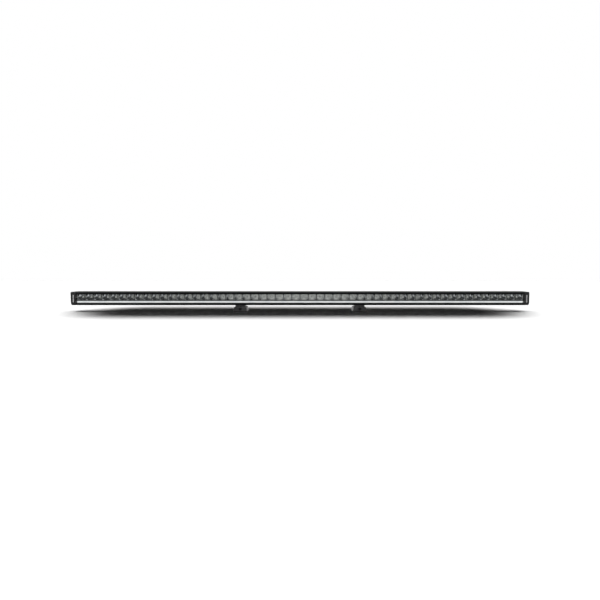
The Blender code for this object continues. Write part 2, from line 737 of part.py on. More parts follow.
def empty(name, location):
    """A joint's own frame: it stands on the axis that the pieces under it move along or about."""
    made = bpy.data.objects.new(name, None)
    made.location = location
    bpy.context.scene.collection.objects.link(made)
    return made


def hang(obj, parent):
    obj.parent = parent
    return obj


def make_slide_block(word, slider):
    """The T-headed block that slides in the rail, with the eye that the foot tilts on. It is modelled
    about the pivot, which is the origin of its parent empty."""
    half = BLOCK_DEPTH / 2
    low = BLOCK_UNDERSIDE - PIVOT_Z
    top = BAR_CLEARANCE - GAP - PIVOT_Z
    neck = RAIL_MOUTH - SIDE_PLAY
    head = RAIL_CAVITY - SIDE_PLAY
    head_low = BAR_CLEARANCE + RAIL_LIP + GAP - PIVOT_Z
    head_top = BAR_CLEARANCE + RAIL_ROOF - ROOF_PLAY - PIVOT_Z
    outline = (
        [(-half, low), (-EYE_RADIUS, low)]
        + arc(0, 0, EYE_RADIUS, 180, 360, 8)
        + [(EYE_RADIUS, low), (half, low), (half, top), (neck, top), (neck, head_low), (head, head_low)]
        + [(head, head_top), (-head, head_top), (-head, head_low), (-neck, head_low), (-neck, top)]
        + [(-half, top)]
    )
    bore = circle(0, 0, PIVOT_RADIUS + GAP)
    bm = prism([outline, bore], "X", -BLOCK_WIDTH / 2, BLOCK_WIDTH / 2)
    block = hang(add_object("slide_block_" + word, bm, "black_paint"), slider)

    channel_roof = LOCK_CHANNEL[1] - PIVOT_Z
    channel_low = (-LOCK_CHANNEL[0], -half - PAST, low - PAST)
    holes = [box(channel_low, (LOCK_CHANNEL[0], -EYE_RADIUS, channel_roof))]
    screw_low = low + 0.2 * MM
    screw_top = top - 0.1 * MM
    socket_deep = 2.0 * MM
    tip_tall = 0.8 * MM
    for name, x, y in JAM_SCREWS:
        holes.append(prism([circle(x, y, JAM_RADIUS + GAP)], "Z", low - PAST, top + PAST))
        profile = [
            (0, screw_low + socket_deep),
            (JAM_SOCKET, screw_low + socket_deep, "hex"),
            (JAM_SOCKET, screw_low, "hex"),
            (JAM_RADIUS, screw_low),
            (JAM_RADIUS, screw_top - tip_tall),
            (JAM_RADIUS * 0.7, screw_top),
            (0, screw_top),
        ]
        bm = turned(profile, "Z", (x, y, 0))
        hang(add_object(f"jam_screw_{word}_{name}", bm, "black_steel", smooth=True), slider)
    cut(block, cutter_group("block_holes_" + word, holes))


def foot_body():
    """The foot's outside: a block whose ends lean in towards the top."""
    low = PAD_THICKNESS + GAP - PIVOT_Z
    top = FOOT_TOP - PIVOT_Z
    bm = bmesh.new()
    stations = (
        (low, FOOT_WIDTH[0] / 2, 0.0),
        (top - 1.0 * MM, FOOT_WIDTH[1] / 2 + 0.15 * MM, 0.4 * MM),
        (top, FOOT_WIDTH[1] / 2 - 0.8 * MM, 1.2 * MM),
    )
    rings = []
    for z, half_wide, set_in in stations:
        half_deep = FOOT_DEPTH / 2 - set_in
        outline = rounded(-half_wide, half_wide, -half_deep, half_deep, FOOT_RADIUS)
        rings.append([bm.verts.new((x, y, z)) for x, y in outline])
    for one, two in zip(rings, rings[1:]):
        for i in range(len(one)):
            bm.faces.new((one[i - 1], one[i], two[i], two[i - 1]))
    bm.faces.new(rings[0])
    bm.faces.new(rings[-1])
    return bm


def make_foot(word, side, pivot):
    """The foot, its pad and the screws it carries, modelled about the pivot. The pivot bolt's head faces
    the middle of the bar, and side is -1 on the left foot and +1 on the right one."""
    cheek = BLOCK_WIDTH / 2 + SIDE_PLAY
    half_wide = FOOT_WIDTH[0] / 2
    half_deep = FOOT_DEPTH / 2
    well = half_deep - FOOT_WALL
    base = BASE_TOP - PIVOT_Z
    sole = PAD_THICKNESS + GAP - PIVOT_Z
    top = FOOT_TOP - PIVOT_Z
    foot = hang(add_object("foot_" + word, foot_body(), "black_paint", smooth=True), pivot)
    cut(foot, add_object("foot_well_" + word, box((-cheek, -well, base), (cheek, well, top + PAST))))

    boss_radius, boss_tall = MOUNT_BOSS
    boss_low, boss_top = base - PAST, base + boss_tall
    profile = [(0, boss_low), (boss_radius, boss_low), (boss_radius, boss_top), (0, boss_top)]
    boss = turned(profile, "Z", (0, MOUNT_BOLT_Y, 0))
    cut(foot, add_object("foot_boss_" + word, boss), "UNION")
    holes = [circle(0, MOUNT_BOLT_Y, MOUNT_BOLT_RADIUS, LARGE_ROUND)]
    holes += [circle(x, y, JAM_ACCESS) for _, x, y in JAM_SCREWS]
    through = [prism([hole], "Z", sole - PAST, boss_top + PAST) for hole in holes]
    cut(foot, cutter_group("sole_holes_" + word, through))

    pivot_bore = [
        (0, -half_wide - PAST),
        (RECESS_RADIUS, -half_wide - PAST),
        (RECESS_RADIUS, -BOLT_SEAT),
        (PIVOT_RADIUS + GAP, -BOLT_SEAT),
        (PIVOT_RADIUS + GAP, BOLT_SEAT),
        (RECESS_RADIUS, BOLT_SEAT),
        (RECESS_RADIUS, half_wide + PAST),
        (0, half_wide + PAST),
    ]
    cut(foot, add_object("pivot_bore_" + word, turned(pivot_bore, "X", (0, 0, 0))))
    lock_hole = circle(0, 0, PIVOT_RADIUS + GAP)
    lock_bore = prism([lock_hole], "Y", -half_deep - PAST, -well + PAST)
    cut(foot, add_object("lock_hole_" + word, lock_bore))

    head = BOLT_SEAT + GAP
    head_tall = 2.0 * MM
    bevel = 0.5 * MM
    socket_floor = head + 0.9 * MM
    washer = (head, head + WASHER_THICK)
    nut = (washer[1] + GAP, washer[1] + GAP + NUT_TALL)
    bolt = [
        (0, socket_floor),
        (BOLT_SOCKET, socket_floor, "hex"),
        (BOLT_SOCKET, head + head_tall, "hex"),
        (BOLT_HEAD_RADIUS - bevel, head + head_tall),
        (BOLT_HEAD_RADIUS, head + head_tall - bevel),
        (BOLT_HEAD_RADIUS, head),
        (PIVOT_RADIUS, head),
        (PIVOT_RADIUS, -nut[1]),
        (0, -nut[1]),
    ]
    bolt = [(p[0], -side * p[1], *p[2:]) for p in bolt]
    bm = turned(bolt, "X", (0, 0, 0))
    hang(add_object("pivot_bolt_" + word, bm, "stainless", smooth=True), pivot)
    bore = PIVOT_RADIUS + GAP
    for name, reach, (near, far), kind in (
        ("washer", BOLT_HEAD_RADIUS, washer, ()),
        ("nut", NUT_HALF, nut, ("hex",)),
    ):
        near, far = side * near, side * far
        ring = [(bore, near), (reach, near, *kind), (reach, far, *kind), (bore, far)]
        bm = turned(ring, "X", (0, 0, 0), closed=True)
        hang(add_object(f"pivot_{name}_{word}", bm, "stainless", smooth=True), pivot)

    face = -half_deep - GAP
    tip = -EYE_RADIUS - SIDE_PLAY
    tip_tall = 0.8 * MM
    lock = [
        (0, face - 1.0 * MM),
        (BOLT_SOCKET, face - 1.0 * MM, "hex"),
        (BOLT_SOCKET, face - LOCK_HEAD, "hex"),
        (3.0 * MM, face - LOCK_HEAD),
        (4.2 * MM, face - 1.2 * MM),
        (4.4 * MM, face),
        (PIVOT_RADIUS, face),
        (PIVOT_RADIUS, tip - tip_tall),
        (PIVOT_RADIUS * 0.6, tip),
        (0, tip),
    ]
    bm = turned(lock, "Y", (0, 0, 0))
    hang(add_object("lock_screw_" + word, bm, "black_steel", smooth=True), pivot)

    outline = rounded(-half_wide, half_wide, -half_deep, half_deep, FOOT_RADIUS)
    holes = [circle(0, MOUNT_BOLT_Y, MOUNT_BOLT_RADIUS + MM)]
    holes += [circle(x, y, JAM_ACCESS) for _, x, y in JAM_SCREWS]
    bm = prism([outline] + holes, "Z", -PIVOT_Z, PAD_THICKNESS - PIVOT_Z)
    hang(add_object("foot_pad_" + word, bm, "rubber"), pivot)


def make_bracket(side, word):
    slider = empty(f"slider_{word}_axis", (side * BRACKET_X, 0, PIVOT_Z))
    pivot = hang(empty(f"foot_{word}_pivot", (0, 0, 0)), slider)
    make_slide_block(word, slider)
    make_foot(word, side, pivot)


def main():
    clear_scene()
    make_housing()
    make_lens()
    make_reflectors()
    make_led_boards()
    make_position_light()
    make_driver()
    make_rear_fittings()
    for side, word in ((-1, "left"), (1, "right")):
        make_end(side, word)
        make_bracket(side, word)


main()
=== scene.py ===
"""The looks of the LED light bar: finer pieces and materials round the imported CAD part, a pale floor, soft
studio light and the camera.

Lengths are in metres, written as millimetres times MM. +X runs along the bar and the light shines towards
-Y. Heights in the bar's own section are measured up from its underside.
"""

import math

import bmesh
import bpy
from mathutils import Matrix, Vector


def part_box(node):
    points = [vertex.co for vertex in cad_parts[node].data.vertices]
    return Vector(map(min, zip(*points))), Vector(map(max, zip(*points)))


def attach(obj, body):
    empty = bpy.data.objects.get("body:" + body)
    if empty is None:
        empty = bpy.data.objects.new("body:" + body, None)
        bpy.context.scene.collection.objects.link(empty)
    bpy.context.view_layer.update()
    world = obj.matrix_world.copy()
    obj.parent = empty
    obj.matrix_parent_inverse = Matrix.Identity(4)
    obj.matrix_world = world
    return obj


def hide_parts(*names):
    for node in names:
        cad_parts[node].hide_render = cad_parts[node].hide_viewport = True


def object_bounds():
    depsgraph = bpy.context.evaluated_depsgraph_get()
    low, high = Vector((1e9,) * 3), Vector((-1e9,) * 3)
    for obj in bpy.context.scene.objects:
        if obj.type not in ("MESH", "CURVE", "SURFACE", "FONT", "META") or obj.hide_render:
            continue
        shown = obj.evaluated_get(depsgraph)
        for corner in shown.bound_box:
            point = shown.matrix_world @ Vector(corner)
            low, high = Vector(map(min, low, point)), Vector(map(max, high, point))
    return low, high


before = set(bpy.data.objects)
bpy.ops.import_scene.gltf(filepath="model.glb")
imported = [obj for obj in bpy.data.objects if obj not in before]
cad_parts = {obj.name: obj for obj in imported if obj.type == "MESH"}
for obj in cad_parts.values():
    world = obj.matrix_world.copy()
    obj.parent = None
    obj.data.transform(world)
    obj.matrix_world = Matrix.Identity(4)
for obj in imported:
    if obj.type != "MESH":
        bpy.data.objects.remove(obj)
cad_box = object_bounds()

MM = 0.001

bar_low, bar_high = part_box("housing")
HALF = bar_high.x  # half the extrusion's length
FRONT = bar_low.y
UNDERSIDE = bar_low.z
HEIGHT = bar_high.z - bar_low.z
PIVOT_Z = sum(c.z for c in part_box("pivot_bolt_left")) / 2
FOOT_X = {w: sum(c.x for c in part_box("foot_pad_" + w)) / 2 for w in ("left", "right")}

CELL_COUNT = 54
CELLS_PER_REFLECTOR = 6
CELLS_PER_BOARD = 18
CELL_PITCH = 2 * HALF / CELL_COUNT
STRIP_LEDS = 27  # behind the position light's strip

GAP = 0.3 * MM  # left between two pieces that touch
PAST = 2 * MM  # how far a cutter reaches beyond what it cuts
CHAMFER = 3.5 * MM  # along the lower front edge of the bar and its caps
REAR_WALL = (13.0 * MM, 16.5 * MM)  # inside and outside of the extrusion's rear wall
FLOOR = 9.7 * MM  # floor and ceiling of the extrusion's chambers
CEILING = 35.0 * MM

FINE = 48  # sides of a turned piece
SHARP = math.radians(38)  # edges turning by less are shaded smooth

# Cap screws: name, place in the section, shank radius, head radius
CAP_SCREWS = (
    ("top_front", -17.0 * MM, 34.3 * MM, 1.5 * MM, 2.6 * MM),
    ("bottom_front", -6.0 * MM, 10.3 * MM, 1.5 * MM, 2.6 * MM),
    ("top_rear", 12.4 * MM, 33.0 * MM, 2.0 * MM, 3.3 * MM),
    ("bottom_rear", 13.0 * MM, 5.3 * MM, 2.0 * MM, 3.3 * MM),
)


# Materials --------


class Finish:
    """One Principled material, with short calls for the nodes that vary it over a surface."""

    def __init__(self, name, colour, roughness, metallic=0.0, **constants):
        self.material = bpy.data.materials.new(name)
        self.material.use_nodes = True
        self.tree = self.material.node_tree
        self.shader = self.tree.nodes["Principled BSDF"]
        self.set("Base Color", (*colour, 1.0))
        self.set("Roughness", roughness)
        self.set("Metallic", metallic)
        for socket, value in constants.items():
            self.set(socket.replace("_", " "), value)
        self.place = self.node("TexCoord").outputs["Object"]

    def node(self, kind, inputs=(), **properties):
        made = self.tree.nodes.new("ShaderNode" + kind)
        for key, value in properties.items():
            setattr(made, key, value)
        for key, value in dict(inputs).items():
            made.inputs[key].default_value = value
        return made

    def set(self, socket, value):
        self.shader.inputs[socket].default_value = value

    def link(self, output, target):
        self.tree.links.new(output, target)
        return self

    def stretch(self, scale):
        """Object coordinates scaled by axis, or evenly by one number. A small number draws a pattern out."""
        by_axis = scale if isinstance(scale, tuple) else (scale, scale, scale)
        mapping = self.node("Mapping", {"Scale": by_axis})
        self.link(self.place, mapping.inputs["Vector"])
        return mapping.outputs["Vector"]

    def noise(self, scale, detail=3.0):
        """A noise whose grains measure one over the scale, in metres, by axis."""
        made = self.node("TexNoise", {"Scale": 1.0, "Detail": detail, "Roughness": 0.55})
        self.link(self.stretch(scale), made.inputs["Vector"])
        return made.outputs["Fac"]

    def cells(self, scale):
        made = self.node("TexVoronoi", {"Scale": 1.0})
        self.link(self.stretch(scale), made.inputs["Vector"])
        return made.outputs["Distance"]

    def waves(self, pitch, axis):
        """Fine parallel lines across an axis, one to each pitch."""
        inputs = {"Scale": math.pi / (10 * pitch), "Distortion": 0.4}
        made = self.node("TexWave", inputs, wave_type="BANDS", bands_direction=axis)
        self.link(self.place, made.inputs["Vector"])
        return made.outputs["Fac"]

    def spread(self, value, low, high, start=0.3, end=0.7):
        """The value carried from start...end to low...high."""
        made = self.node("MapRange", {"From Min": start, "From Max": end, "To Min": low, "To Max": high})
        self.link(value, made.inputs["Value"])
        return made.outputs["Result"]

    def blend(self, share, first, second):
        """A colour between two others; each is three numbers or a socket."""
        made = self.node("Mix", data_type="RGBA")
        self.link(share, made.inputs["Factor"])
        for socket, colour in (("A", first), ("B", second)):
            target = next(s for s in made.inputs if s.name == socket and s.type == "RGBA")
            if isinstance(colour, bpy.types.NodeSocket):
                self.link(colour, target)
            else:
                target.default_value = (*colour, 1.0)
        return next(s for s in made.outputs if s.type == "RGBA")

    def edges(self, radius):
        """1 along outside edges and 0 on flat faces, from how far a rounded edge would turn the normal."""
        eased = self.node("Bevel", {"Radius": radius}, samples=6)
        flat = self.node("NewGeometry")
        turn = self.node("VectorMath", operation="DOT_PRODUCT")
        self.link(eased.outputs["Normal"], turn.inputs[0])
        self.link(flat.outputs["Normal"], turn.inputs[1])
        return self.spread(turn.outputs["Value"], 1.0, 0.0, 0.86, 0.99)

    def colour(self, value):
        return self.link(value, self.shader.inputs["Base Color"])

    def mottle(self, value, first, second):
        """The base colour carried from one to another by a noise."""
        return self.colour(self.blend(self.spread(value, 0, 1), first, second))

    def rough(self, value):
        return self.link(value, self.shader.inputs["Roughness"])

    def bump(self, height, distance, strength=0.5):
        """Relief of the given depth; a second call adds to the first."""
        made = self.node("Bump", {"Distance": distance, "Strength": strength})
        self.link(height, made.inputs["Height"])
        normal = self.shader.inputs["Normal"]
        if normal.is_linked:
            self.link(normal.links[0].from_socket, made.inputs["Normal"])
        return self.link(made.outputs["Normal"], normal)


def brushed_black():
    """Black anodised aluminium with fine die lines along X."""
    made = Finish("black_anodised_finish", (0.012, 0.012, 0.013), 0.34, 0.35, Specular_IOR_Level=0.45)
    lines = made.noise((6, 2600, 2600), 2.0)
    clouds = made.noise((9, 40, 40), 4.0)
    made.mottle(clouds, (0.009, 0.009, 0.0095), (0.019, 0.019, 0.02))
    made.rough(made.spread(lines, 0.27, 0.45))
    made.bump(lines, 0.02 * MM)
    return made.material


def powder_coat(name, dark, light):
    """Fine-textured powder coat between two greys, rubbed a little lighter along its edges."""
    made = Finish(name, (light, light, light), 0.4)
    grain = made.noise(2300, 2.0)
    clouds = made.noise(60, 4.0)
    base = made.blend(made.spread(clouds, 0, 1), (dark, dark, 1.03 * dark), (light, light, 1.03 * light))
    scuffs = made.node("Math", operation="MULTIPLY")
    made.link(made.edges(0.35 * MM), scuffs.inputs[0])
    made.link(made.spread(made.noise(420), 0, 1, 0.45, 0.62), scuffs.inputs[1])
    rubbed = light + 0.06
    made.colour(made.blend(scuffs.outputs[0], base, (rubbed, rubbed, rubbed)))
    made.rough(made.spread(grain, 0.3, 0.46))
    made.bump(grain, 0.04 * MM)
    return made.material


def satin_metal():
    made = Finish("satin_insert_finish", (0.6, 0.6, 0.61), 0.34, 0.5)
    lines = made.noise((3200, 3200, 30), 2.0)
    clouds = made.noise((150, 150, 90))
    made.mottle(clouds, (0.6, 0.6, 0.61), (0.76, 0.76, 0.77))
    made.rough(made.spread(lines, 0.26, 0.46))
    made.bump(lines, 0.015 * MM)
    return made.material


def mirror_coat():
    """Vacuum-metallised plastic: a mirror with a faint haze, moulding flow and fine upright flutes."""
    made = Finish("mirror_coat_finish", (0.86, 0.86, 0.87), 0.08, 1.0)
    haze = made.noise(140, 4.0)
    made.mottle(haze, (0.78, 0.78, 0.79), (0.9, 0.9, 0.91))
    made.rough(made.spread(haze, 0.06, 0.14))
    flutes = made.waves(CELL_PITCH / 12, "X")
    made.bump(flutes, 0.10 * MM)
    made.bump(made.noise(420, 2.0), 0.02 * MM, 0.4)
    return made.material


def clear_sheet():
    """Clear hard-coated polycarbonate: it lets everything behind it show and mirrors at a glancing angle."""
    made = Finish("clear_lens_finish", (0.93, 0.94, 0.95), 0.04, 1.0)
    smears = made.noise((30, 90, 90), 4.0)
    made.rough(made.spread(smears, 0.02, 0.09))
    made.bump(made.noise((12, 60, 60), 2.0), 0.03 * MM, 0.4)
    through = made.node("BsdfTransparent", {"Color": (0.96, 0.97, 0.97, 1.0)})
    glance = made.node("Fresnel", {"IOR": 1.32})
    mixed = made.node("MixShader")
    made.link(glance.outputs["Fac"], mixed.inputs["Fac"])
    made.link(through.outputs["BSDF"], mixed.inputs[1])
    made.link(made.shader.outputs["BSDF"], mixed.inputs[2])
    made.link(mixed.outputs["Shader"], made.tree.nodes["Material Output"].inputs["Surface"])
    return made.material


def opal_acrylic():
    """Milky acrylic lit from behind, a touch brighter in front of each LED."""
    made = Finish("opal_strip_finish", (0.9, 0.9, 0.88), 0.35, Emission_Strength=0.55)
    glow = made.waves(2 * HALF / STRIP_LEDS, "X")
    cloud = made.noise((25, 200, 200))
    lit = made.blend(made.spread(glow, 0, 1, 0.0, 1.0), (0.84, 0.85, 0.87), (1.0, 1.0, 1.0))
    made.link(lit, made.shader.inputs["Emission Color"])
    made.mottle(cloud, (0.84, 0.84, 0.83), (0.93, 0.93, 0.92))
    made.rough(made.spread(cloud, 0.28, 0.42))
    made.bump(made.noise(500, 2.0), 0.02 * MM)
    return made.material


def black_steel():
    made = Finish("black_screw_finish", (0.03, 0.03, 0.031), 0.36, 0.7)
    grain = made.noise(900)
    base = made.blend(made.spread(grain, 0, 1), (0.02, 0.02, 0.021), (0.045, 0.045, 0.046))
    made.colour(made.blend(made.edges(0.15 * MM), base, (0.12, 0.12, 0.122)))
    made.rough(made.spread(grain, 0.28, 0.46))
    made.bump(grain, 0.02 * MM)
    return made.material


def stainless():
    made = Finish("stainless_finish", (0.6, 0.6, 0.61), 0.26, 1.0)
    turning = made.noise((60, 1500, 1500), 2.0)
    made.mottle(turning, (0.5, 0.5, 0.51), (0.68, 0.68, 0.69))
    made.rough(made.spread(turning, 0.2, 0.36))
    made.bump(turning, 0.01 * MM)
    return made.material


def nylon():
    made = Finish("black_nylon_finish", (0.016, 0.016, 0.017), 0.48)
    grain = made.cells(1500)
    made.colour(made.blend(made.noise(90), (0.011, 0.011, 0.012), (0.024, 0.024, 0.025)))
    made.rough(made.spread(grain, 0.4, 0.56, 0.0, 1.0))
    made.bump(grain, 0.03 * MM)
    return made.material


def rubber():
    made = Finish("seal_rubber_finish", (0.02, 0.02, 0.02), 0.8, Specular_IOR_Level=0.3)
    dust = made.noise(220, 5.0)
    made.colour(made.blend(made.spread(dust, 0, 1, 0.45, 0.75), (0.014, 0.014, 0.014), (0.05, 0.049, 0.047)))
    made.rough(made.spread(dust, 0.7, 0.92))
    made.bump(made.noise(1300), 0.05 * MM, 0.6)
    return made.material


def board(name, mask, copper, pitch):
    """A circuit board: solder mask over faintly raised copper tracks."""
    made = Finish(name, mask, 0.32)
    tracks = made.node("TexBrick", {"Scale": 1.0 / pitch, "Mortar Size": 0.06})
    made.link(made.place, tracks.inputs["Vector"])
    share = made.spread(tracks.outputs["Fac"], 0, 1, 0.0, 1.0)
    fleck = made.blend(made.noise(600), mask, [0.9 * c for c in mask])
    made.colour(made.blend(share, fleck, copper))
    made.rough(made.spread(made.noise(300), 0.25, 0.4))
    made.bump(share, 0.03 * MM, 0.6)
    return made.material


def phosphor():
    """The emitters' silicone domes over phosphor, with a faint painted glow in place of the light they
    catch.
    """
    # Painted glow: the emission stands in for light falling on the domes, not for lit LEDs.
    made = Finish("phosphor_finish", (0.78, 0.77, 0.72), 0.25, Emission_Strength=0.27)
    speck = made.noise(2500)
    made.mottle(speck, (0.74, 0.73, 0.66), (0.84, 0.83, 0.78))
    glow = made.blend(made.spread(speck, 0, 1), (0.93, 0.93, 0.92), (1.0, 1.0, 0.99))
    made.link(glow, made.shader.inputs["Emission Color"])
    made.bump(speck, 0.02 * MM, 0.4)
    return made.material


def thermal_gel():
    made = Finish("thermal_pad_finish", (0.35, 0.36, 0.38), 0.8)
    speck = made.noise(700, 4.0)
    made.mottle(speck, (0.28, 0.29, 0.31), (0.42, 0.43, 0.45))
    made.rough(made.spread(speck, 0.7, 0.9))
    made.bump(speck, 0.05 * MM, 0.6)
    return made.material


def studio_floor():
    """Matt white card."""
    made = Finish("studio_floor_finish", (0.9, 0.9, 0.9), 0.9, Specular_IOR_Level=0.0)
    drift = made.noise(3)
    made.colour(made.blend(drift, (0.89, 0.89, 0.89), (0.93, 0.93, 0.93)))
    return made.material


ANODISED = brushed_black()
COAT = powder_coat("powder_coat_finish", 0.016, 0.027)
# The brackets are black like the caps. This lighter copy of the coat is painted light: it stands in for the
# light the flag keeps off the feet and blocks.
PAINTED_LIGHT_COAT = powder_coat("painted_light_coat_finish", 0.085, 0.13)
SATIN = satin_metal()
CHROME = mirror_coat()
CLEAR = clear_sheet()
OPAL = opal_acrylic()
BLACK_STEEL = black_steel()
STAINLESS = stainless()
NYLON = nylon()
RUBBER = rubber()
WHITE_BOARD = board("white_board_finish", (0.78, 0.78, 0.76), (0.6, 0.6, 0.56), 7 * MM)
GREEN_BOARD = board("green_board_finish", (0.03, 0.15, 0.065), (0.05, 0.24, 0.1), 9 * MM)
PHOSPHOR = phosphor()
THERMAL = thermal_gel()


# Outlines --------


def rectangle(u0, u1, v0, v1):
    return [(u0, v0), (u1, v0), (u1, v1), (u0, v1)]


def circle(u, v, radius, sides=FINE):
    turns = (2 * math.pi * (i + 0.5) / sides for i in range(sides))
    return [(u + radius * math.cos(a), v + radius * math.sin(a)) for a in turns]


def arc(u, v, radius, start, end, steps):
    angles = (math.radians(start + (end - start) * i / steps) for i in range(steps + 1))
    return [(u + radius * math.cos(a), v + radius * math.sin(a)) for a in angles]


def softened(points, radius, steps=4):
    """The outline with every corner rounded, as far as its sides leave room. A point's third number is a
    radius of its own."""
    made = []
    for i, point in enumerate(points):
        before, corner, after = (Vector(points[j % len(points)][:2]) for j in (i - 1, i, i + 1))
        one, two = before - corner, after - corner
        inside = one.angle(two)
        wanted = point[2] if len(point) > 2 else radius
        if wanted <= 0 or inside > math.radians(175):
            made.append(tuple(corner))
            continue
        back = min(wanted / math.tan(inside / 2), 0.45 * min(one.length, two.length))
        actual = back * math.tan(inside / 2)
        centre = corner + (one.normalized() + two.normalized()).normalized() * actual / math.sin(inside / 2)
        start = corner + one.normalized() * back - centre
        finish = corner + two.normalized() * back - centre
        turn = math.atan2(start.x * finish.y - start.y * finish.x, start.dot(finish))
        begin = math.atan2(start.y, start.x)
        for k in range(steps + 1):
            angle = begin + turn * k / steps
            made.append((centre.x + actual * math.cos(angle), centre.y + actual * math.sin(angle)))
    return made


def rounded(u, v, half_u, half_v, radius, steps=4):
    """A rectangle about a centre, with rounded corners."""
    return softened(rectangle(u - half_u, u + half_u, v - half_v, v + half_v), radius, steps)


def section(points):
    """Points of the bar's section, moved up to the bar's place; a radius stays as it is."""
    return [(p[0], UNDERSIDE + p[1], *p[2:]) for p in points]


# Solids --------


def place(u, v, w, axis):
    """A point with w along the axis and u, v across it, in X, Y, Z order."""
    return {"X": (w, u, v), "Y": (u, w, v), "Z": (u, v, w)}[axis]


def skin(bm, one, two):
    """Faces between two loops of as many points."""
    for i in range(len(one)):
        bm.faces.new((one[i - 1], one[i], two[i], two[i - 1]))


def loft(rings, axis):
    """A closed solid through rings of (outline, distance along the axis); its ends are flat."""
    bm = bmesh.new()
    loops = [[bm.verts.new(place(u, v, w, axis)) for u, v in outline] for outline, w in rings]
    for one, two in zip(loops, loops[1:]):
        skin(bm, one, two)
    bm.faces.new(loops[0])
    bm.faces.new(loops[-1])
    return bm


def prism(outlines, axis, low, high):
    """A flat region pulled along an axis. The first outline bounds it, the others are holes."""
    bm = bmesh.new()
    edges = {low: [], high: []}
    for outline in outlines:
        rings = {end: [bm.verts.new(place(u, v, end, axis)) for u, v in outline] for end in (low, high)}
        for i in range(len(outline)):
            for end in (low, high):
                edges[end].append(bm.edges.new((rings[end][i - 1], rings[end][i])))
            bm.faces.new((rings[low][i - 1], rings[low][i], rings[high][i], rings[high][i - 1]))
    for end in (low, high):
        bmesh.ops.triangle_fill(bm, use_beauty=True, use_dissolve=False, edges=edges[end])
    return bm


def box(low, high):
    return prism([rectangle(low[0], high[0], low[1], high[1])], "Z", low[2], high[2])


def turned(profile, axis, centre, sides=FINE, closed=False):
    """A solid turned about an axis. A profile point is (radius, height) and, where the section isn't
    round, "hex" or "ribs". A closed profile is a ring's section; an open one starts and ends on the axis."""
    bm = bmesh.new()
    rings = []
    for radius, height, *kind in profile:
        if radius == 0:
            rings.append([bm.verts.new(place(centre[0], centre[1], centre[2] + height, axis))])
            continue
        ring = []
        for i in range(sides):
            angle = 2 * math.pi * i / sides
            reach = radius
            if kind == ["hex"]:
                reach = radius / math.cos(angle % (math.pi / 3) - math.pi / 6)
            if kind == ["ribs"]:
                reach = radius * (0.955 if i % 4 < 2 else 1.0)
            u = centre[0] + reach * math.cos(angle)
            v = centre[1] + reach * math.sin(angle)
            ring.append(bm.verts.new(place(u, v, centre[2] + height, axis)))
        rings.append(ring)
    pairs = list(zip(rings, rings[1:]))
    if closed:
        pairs.append((rings[-1], rings[0]))
    for one, two in pairs:
        for i in range(sides):
            j = (i + 1) % sides
            corners = [one[i % len(one)], one[j % len(one)], two[j % len(two)], two[i % len(two)]]
            bm.faces.new(list(dict.fromkeys(corners)))
    return bm


def join(shapes):
    """One bmesh that holds several."""
    whole = bmesh.new()
    for shape in shapes:
        bmesh.ops.recalc_face_normals(shape, faces=shape.faces)
        mesh = bpy.data.meshes.new("part")
        shape.to_mesh(mesh)
        shape.free()
        whole.from_mesh(mesh)
        bpy.data.meshes.remove(mesh)
    return whole


def new_object(name, bm):
    bmesh.ops.recalc_face_normals(bm, faces=bm.faces)
    mesh = bpy.data.meshes.new(name)
    bm.to_mesh(mesh)
    bm.free()
    obj = bpy.data.objects.new(name, mesh)
    bpy.context.scene.collection.objects.link(obj)
    return obj


def apply_modifiers(obj):
    bpy.context.view_layer.update()
    depsgraph = bpy.context.evaluated_depsgraph_get()
    made = bpy.data.meshes.new_from_object(obj.evaluated_get(depsgraph))
    obj.modifiers.clear()
    obj.data = made


def carve(obj, cutters, operation="DIFFERENCE"):
    """Cuts each shape out of the object, or joins it on."""
    for shape in cutters:
        tool = new_object("tool", shape)
        step = obj.modifiers.new("carve", "BOOLEAN")
        step.operation = operation
        step.object = tool
        apply_modifiers(obj)
        bpy.data.objects.remove(tool)


def ease_edges(obj, width):
    """Rounds every edge that turns by more than 50 degrees."""
    step = obj.modifiers.new("ease", "BEVEL")
    step.width = width
    step.segments = 2
    step.limit_method = "ANGLE"
    step.angle_limit = math.radians(50)
    apply_modifiers(obj)


def piece(obj, material, body, slot, *nodes):
    """Finishes an object as a visible piece that stands for CAD nodes."""
    obj.data.materials.clear()
    obj.data.materials.append(material)
    obj.data.shade_smooth()
    obj.data.set_sharp_from_angle(angle=SHARP)
    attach(obj, body)
    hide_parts(*nodes)
    return obj


# The bar --------


def fin_tip(height):
    """How far back the fins reach at a height: furthest in the middle."""
    crown = 3.5 * MM
    return bar_high.y - crown * (height / (HEIGHT / 2) - 1) ** 2


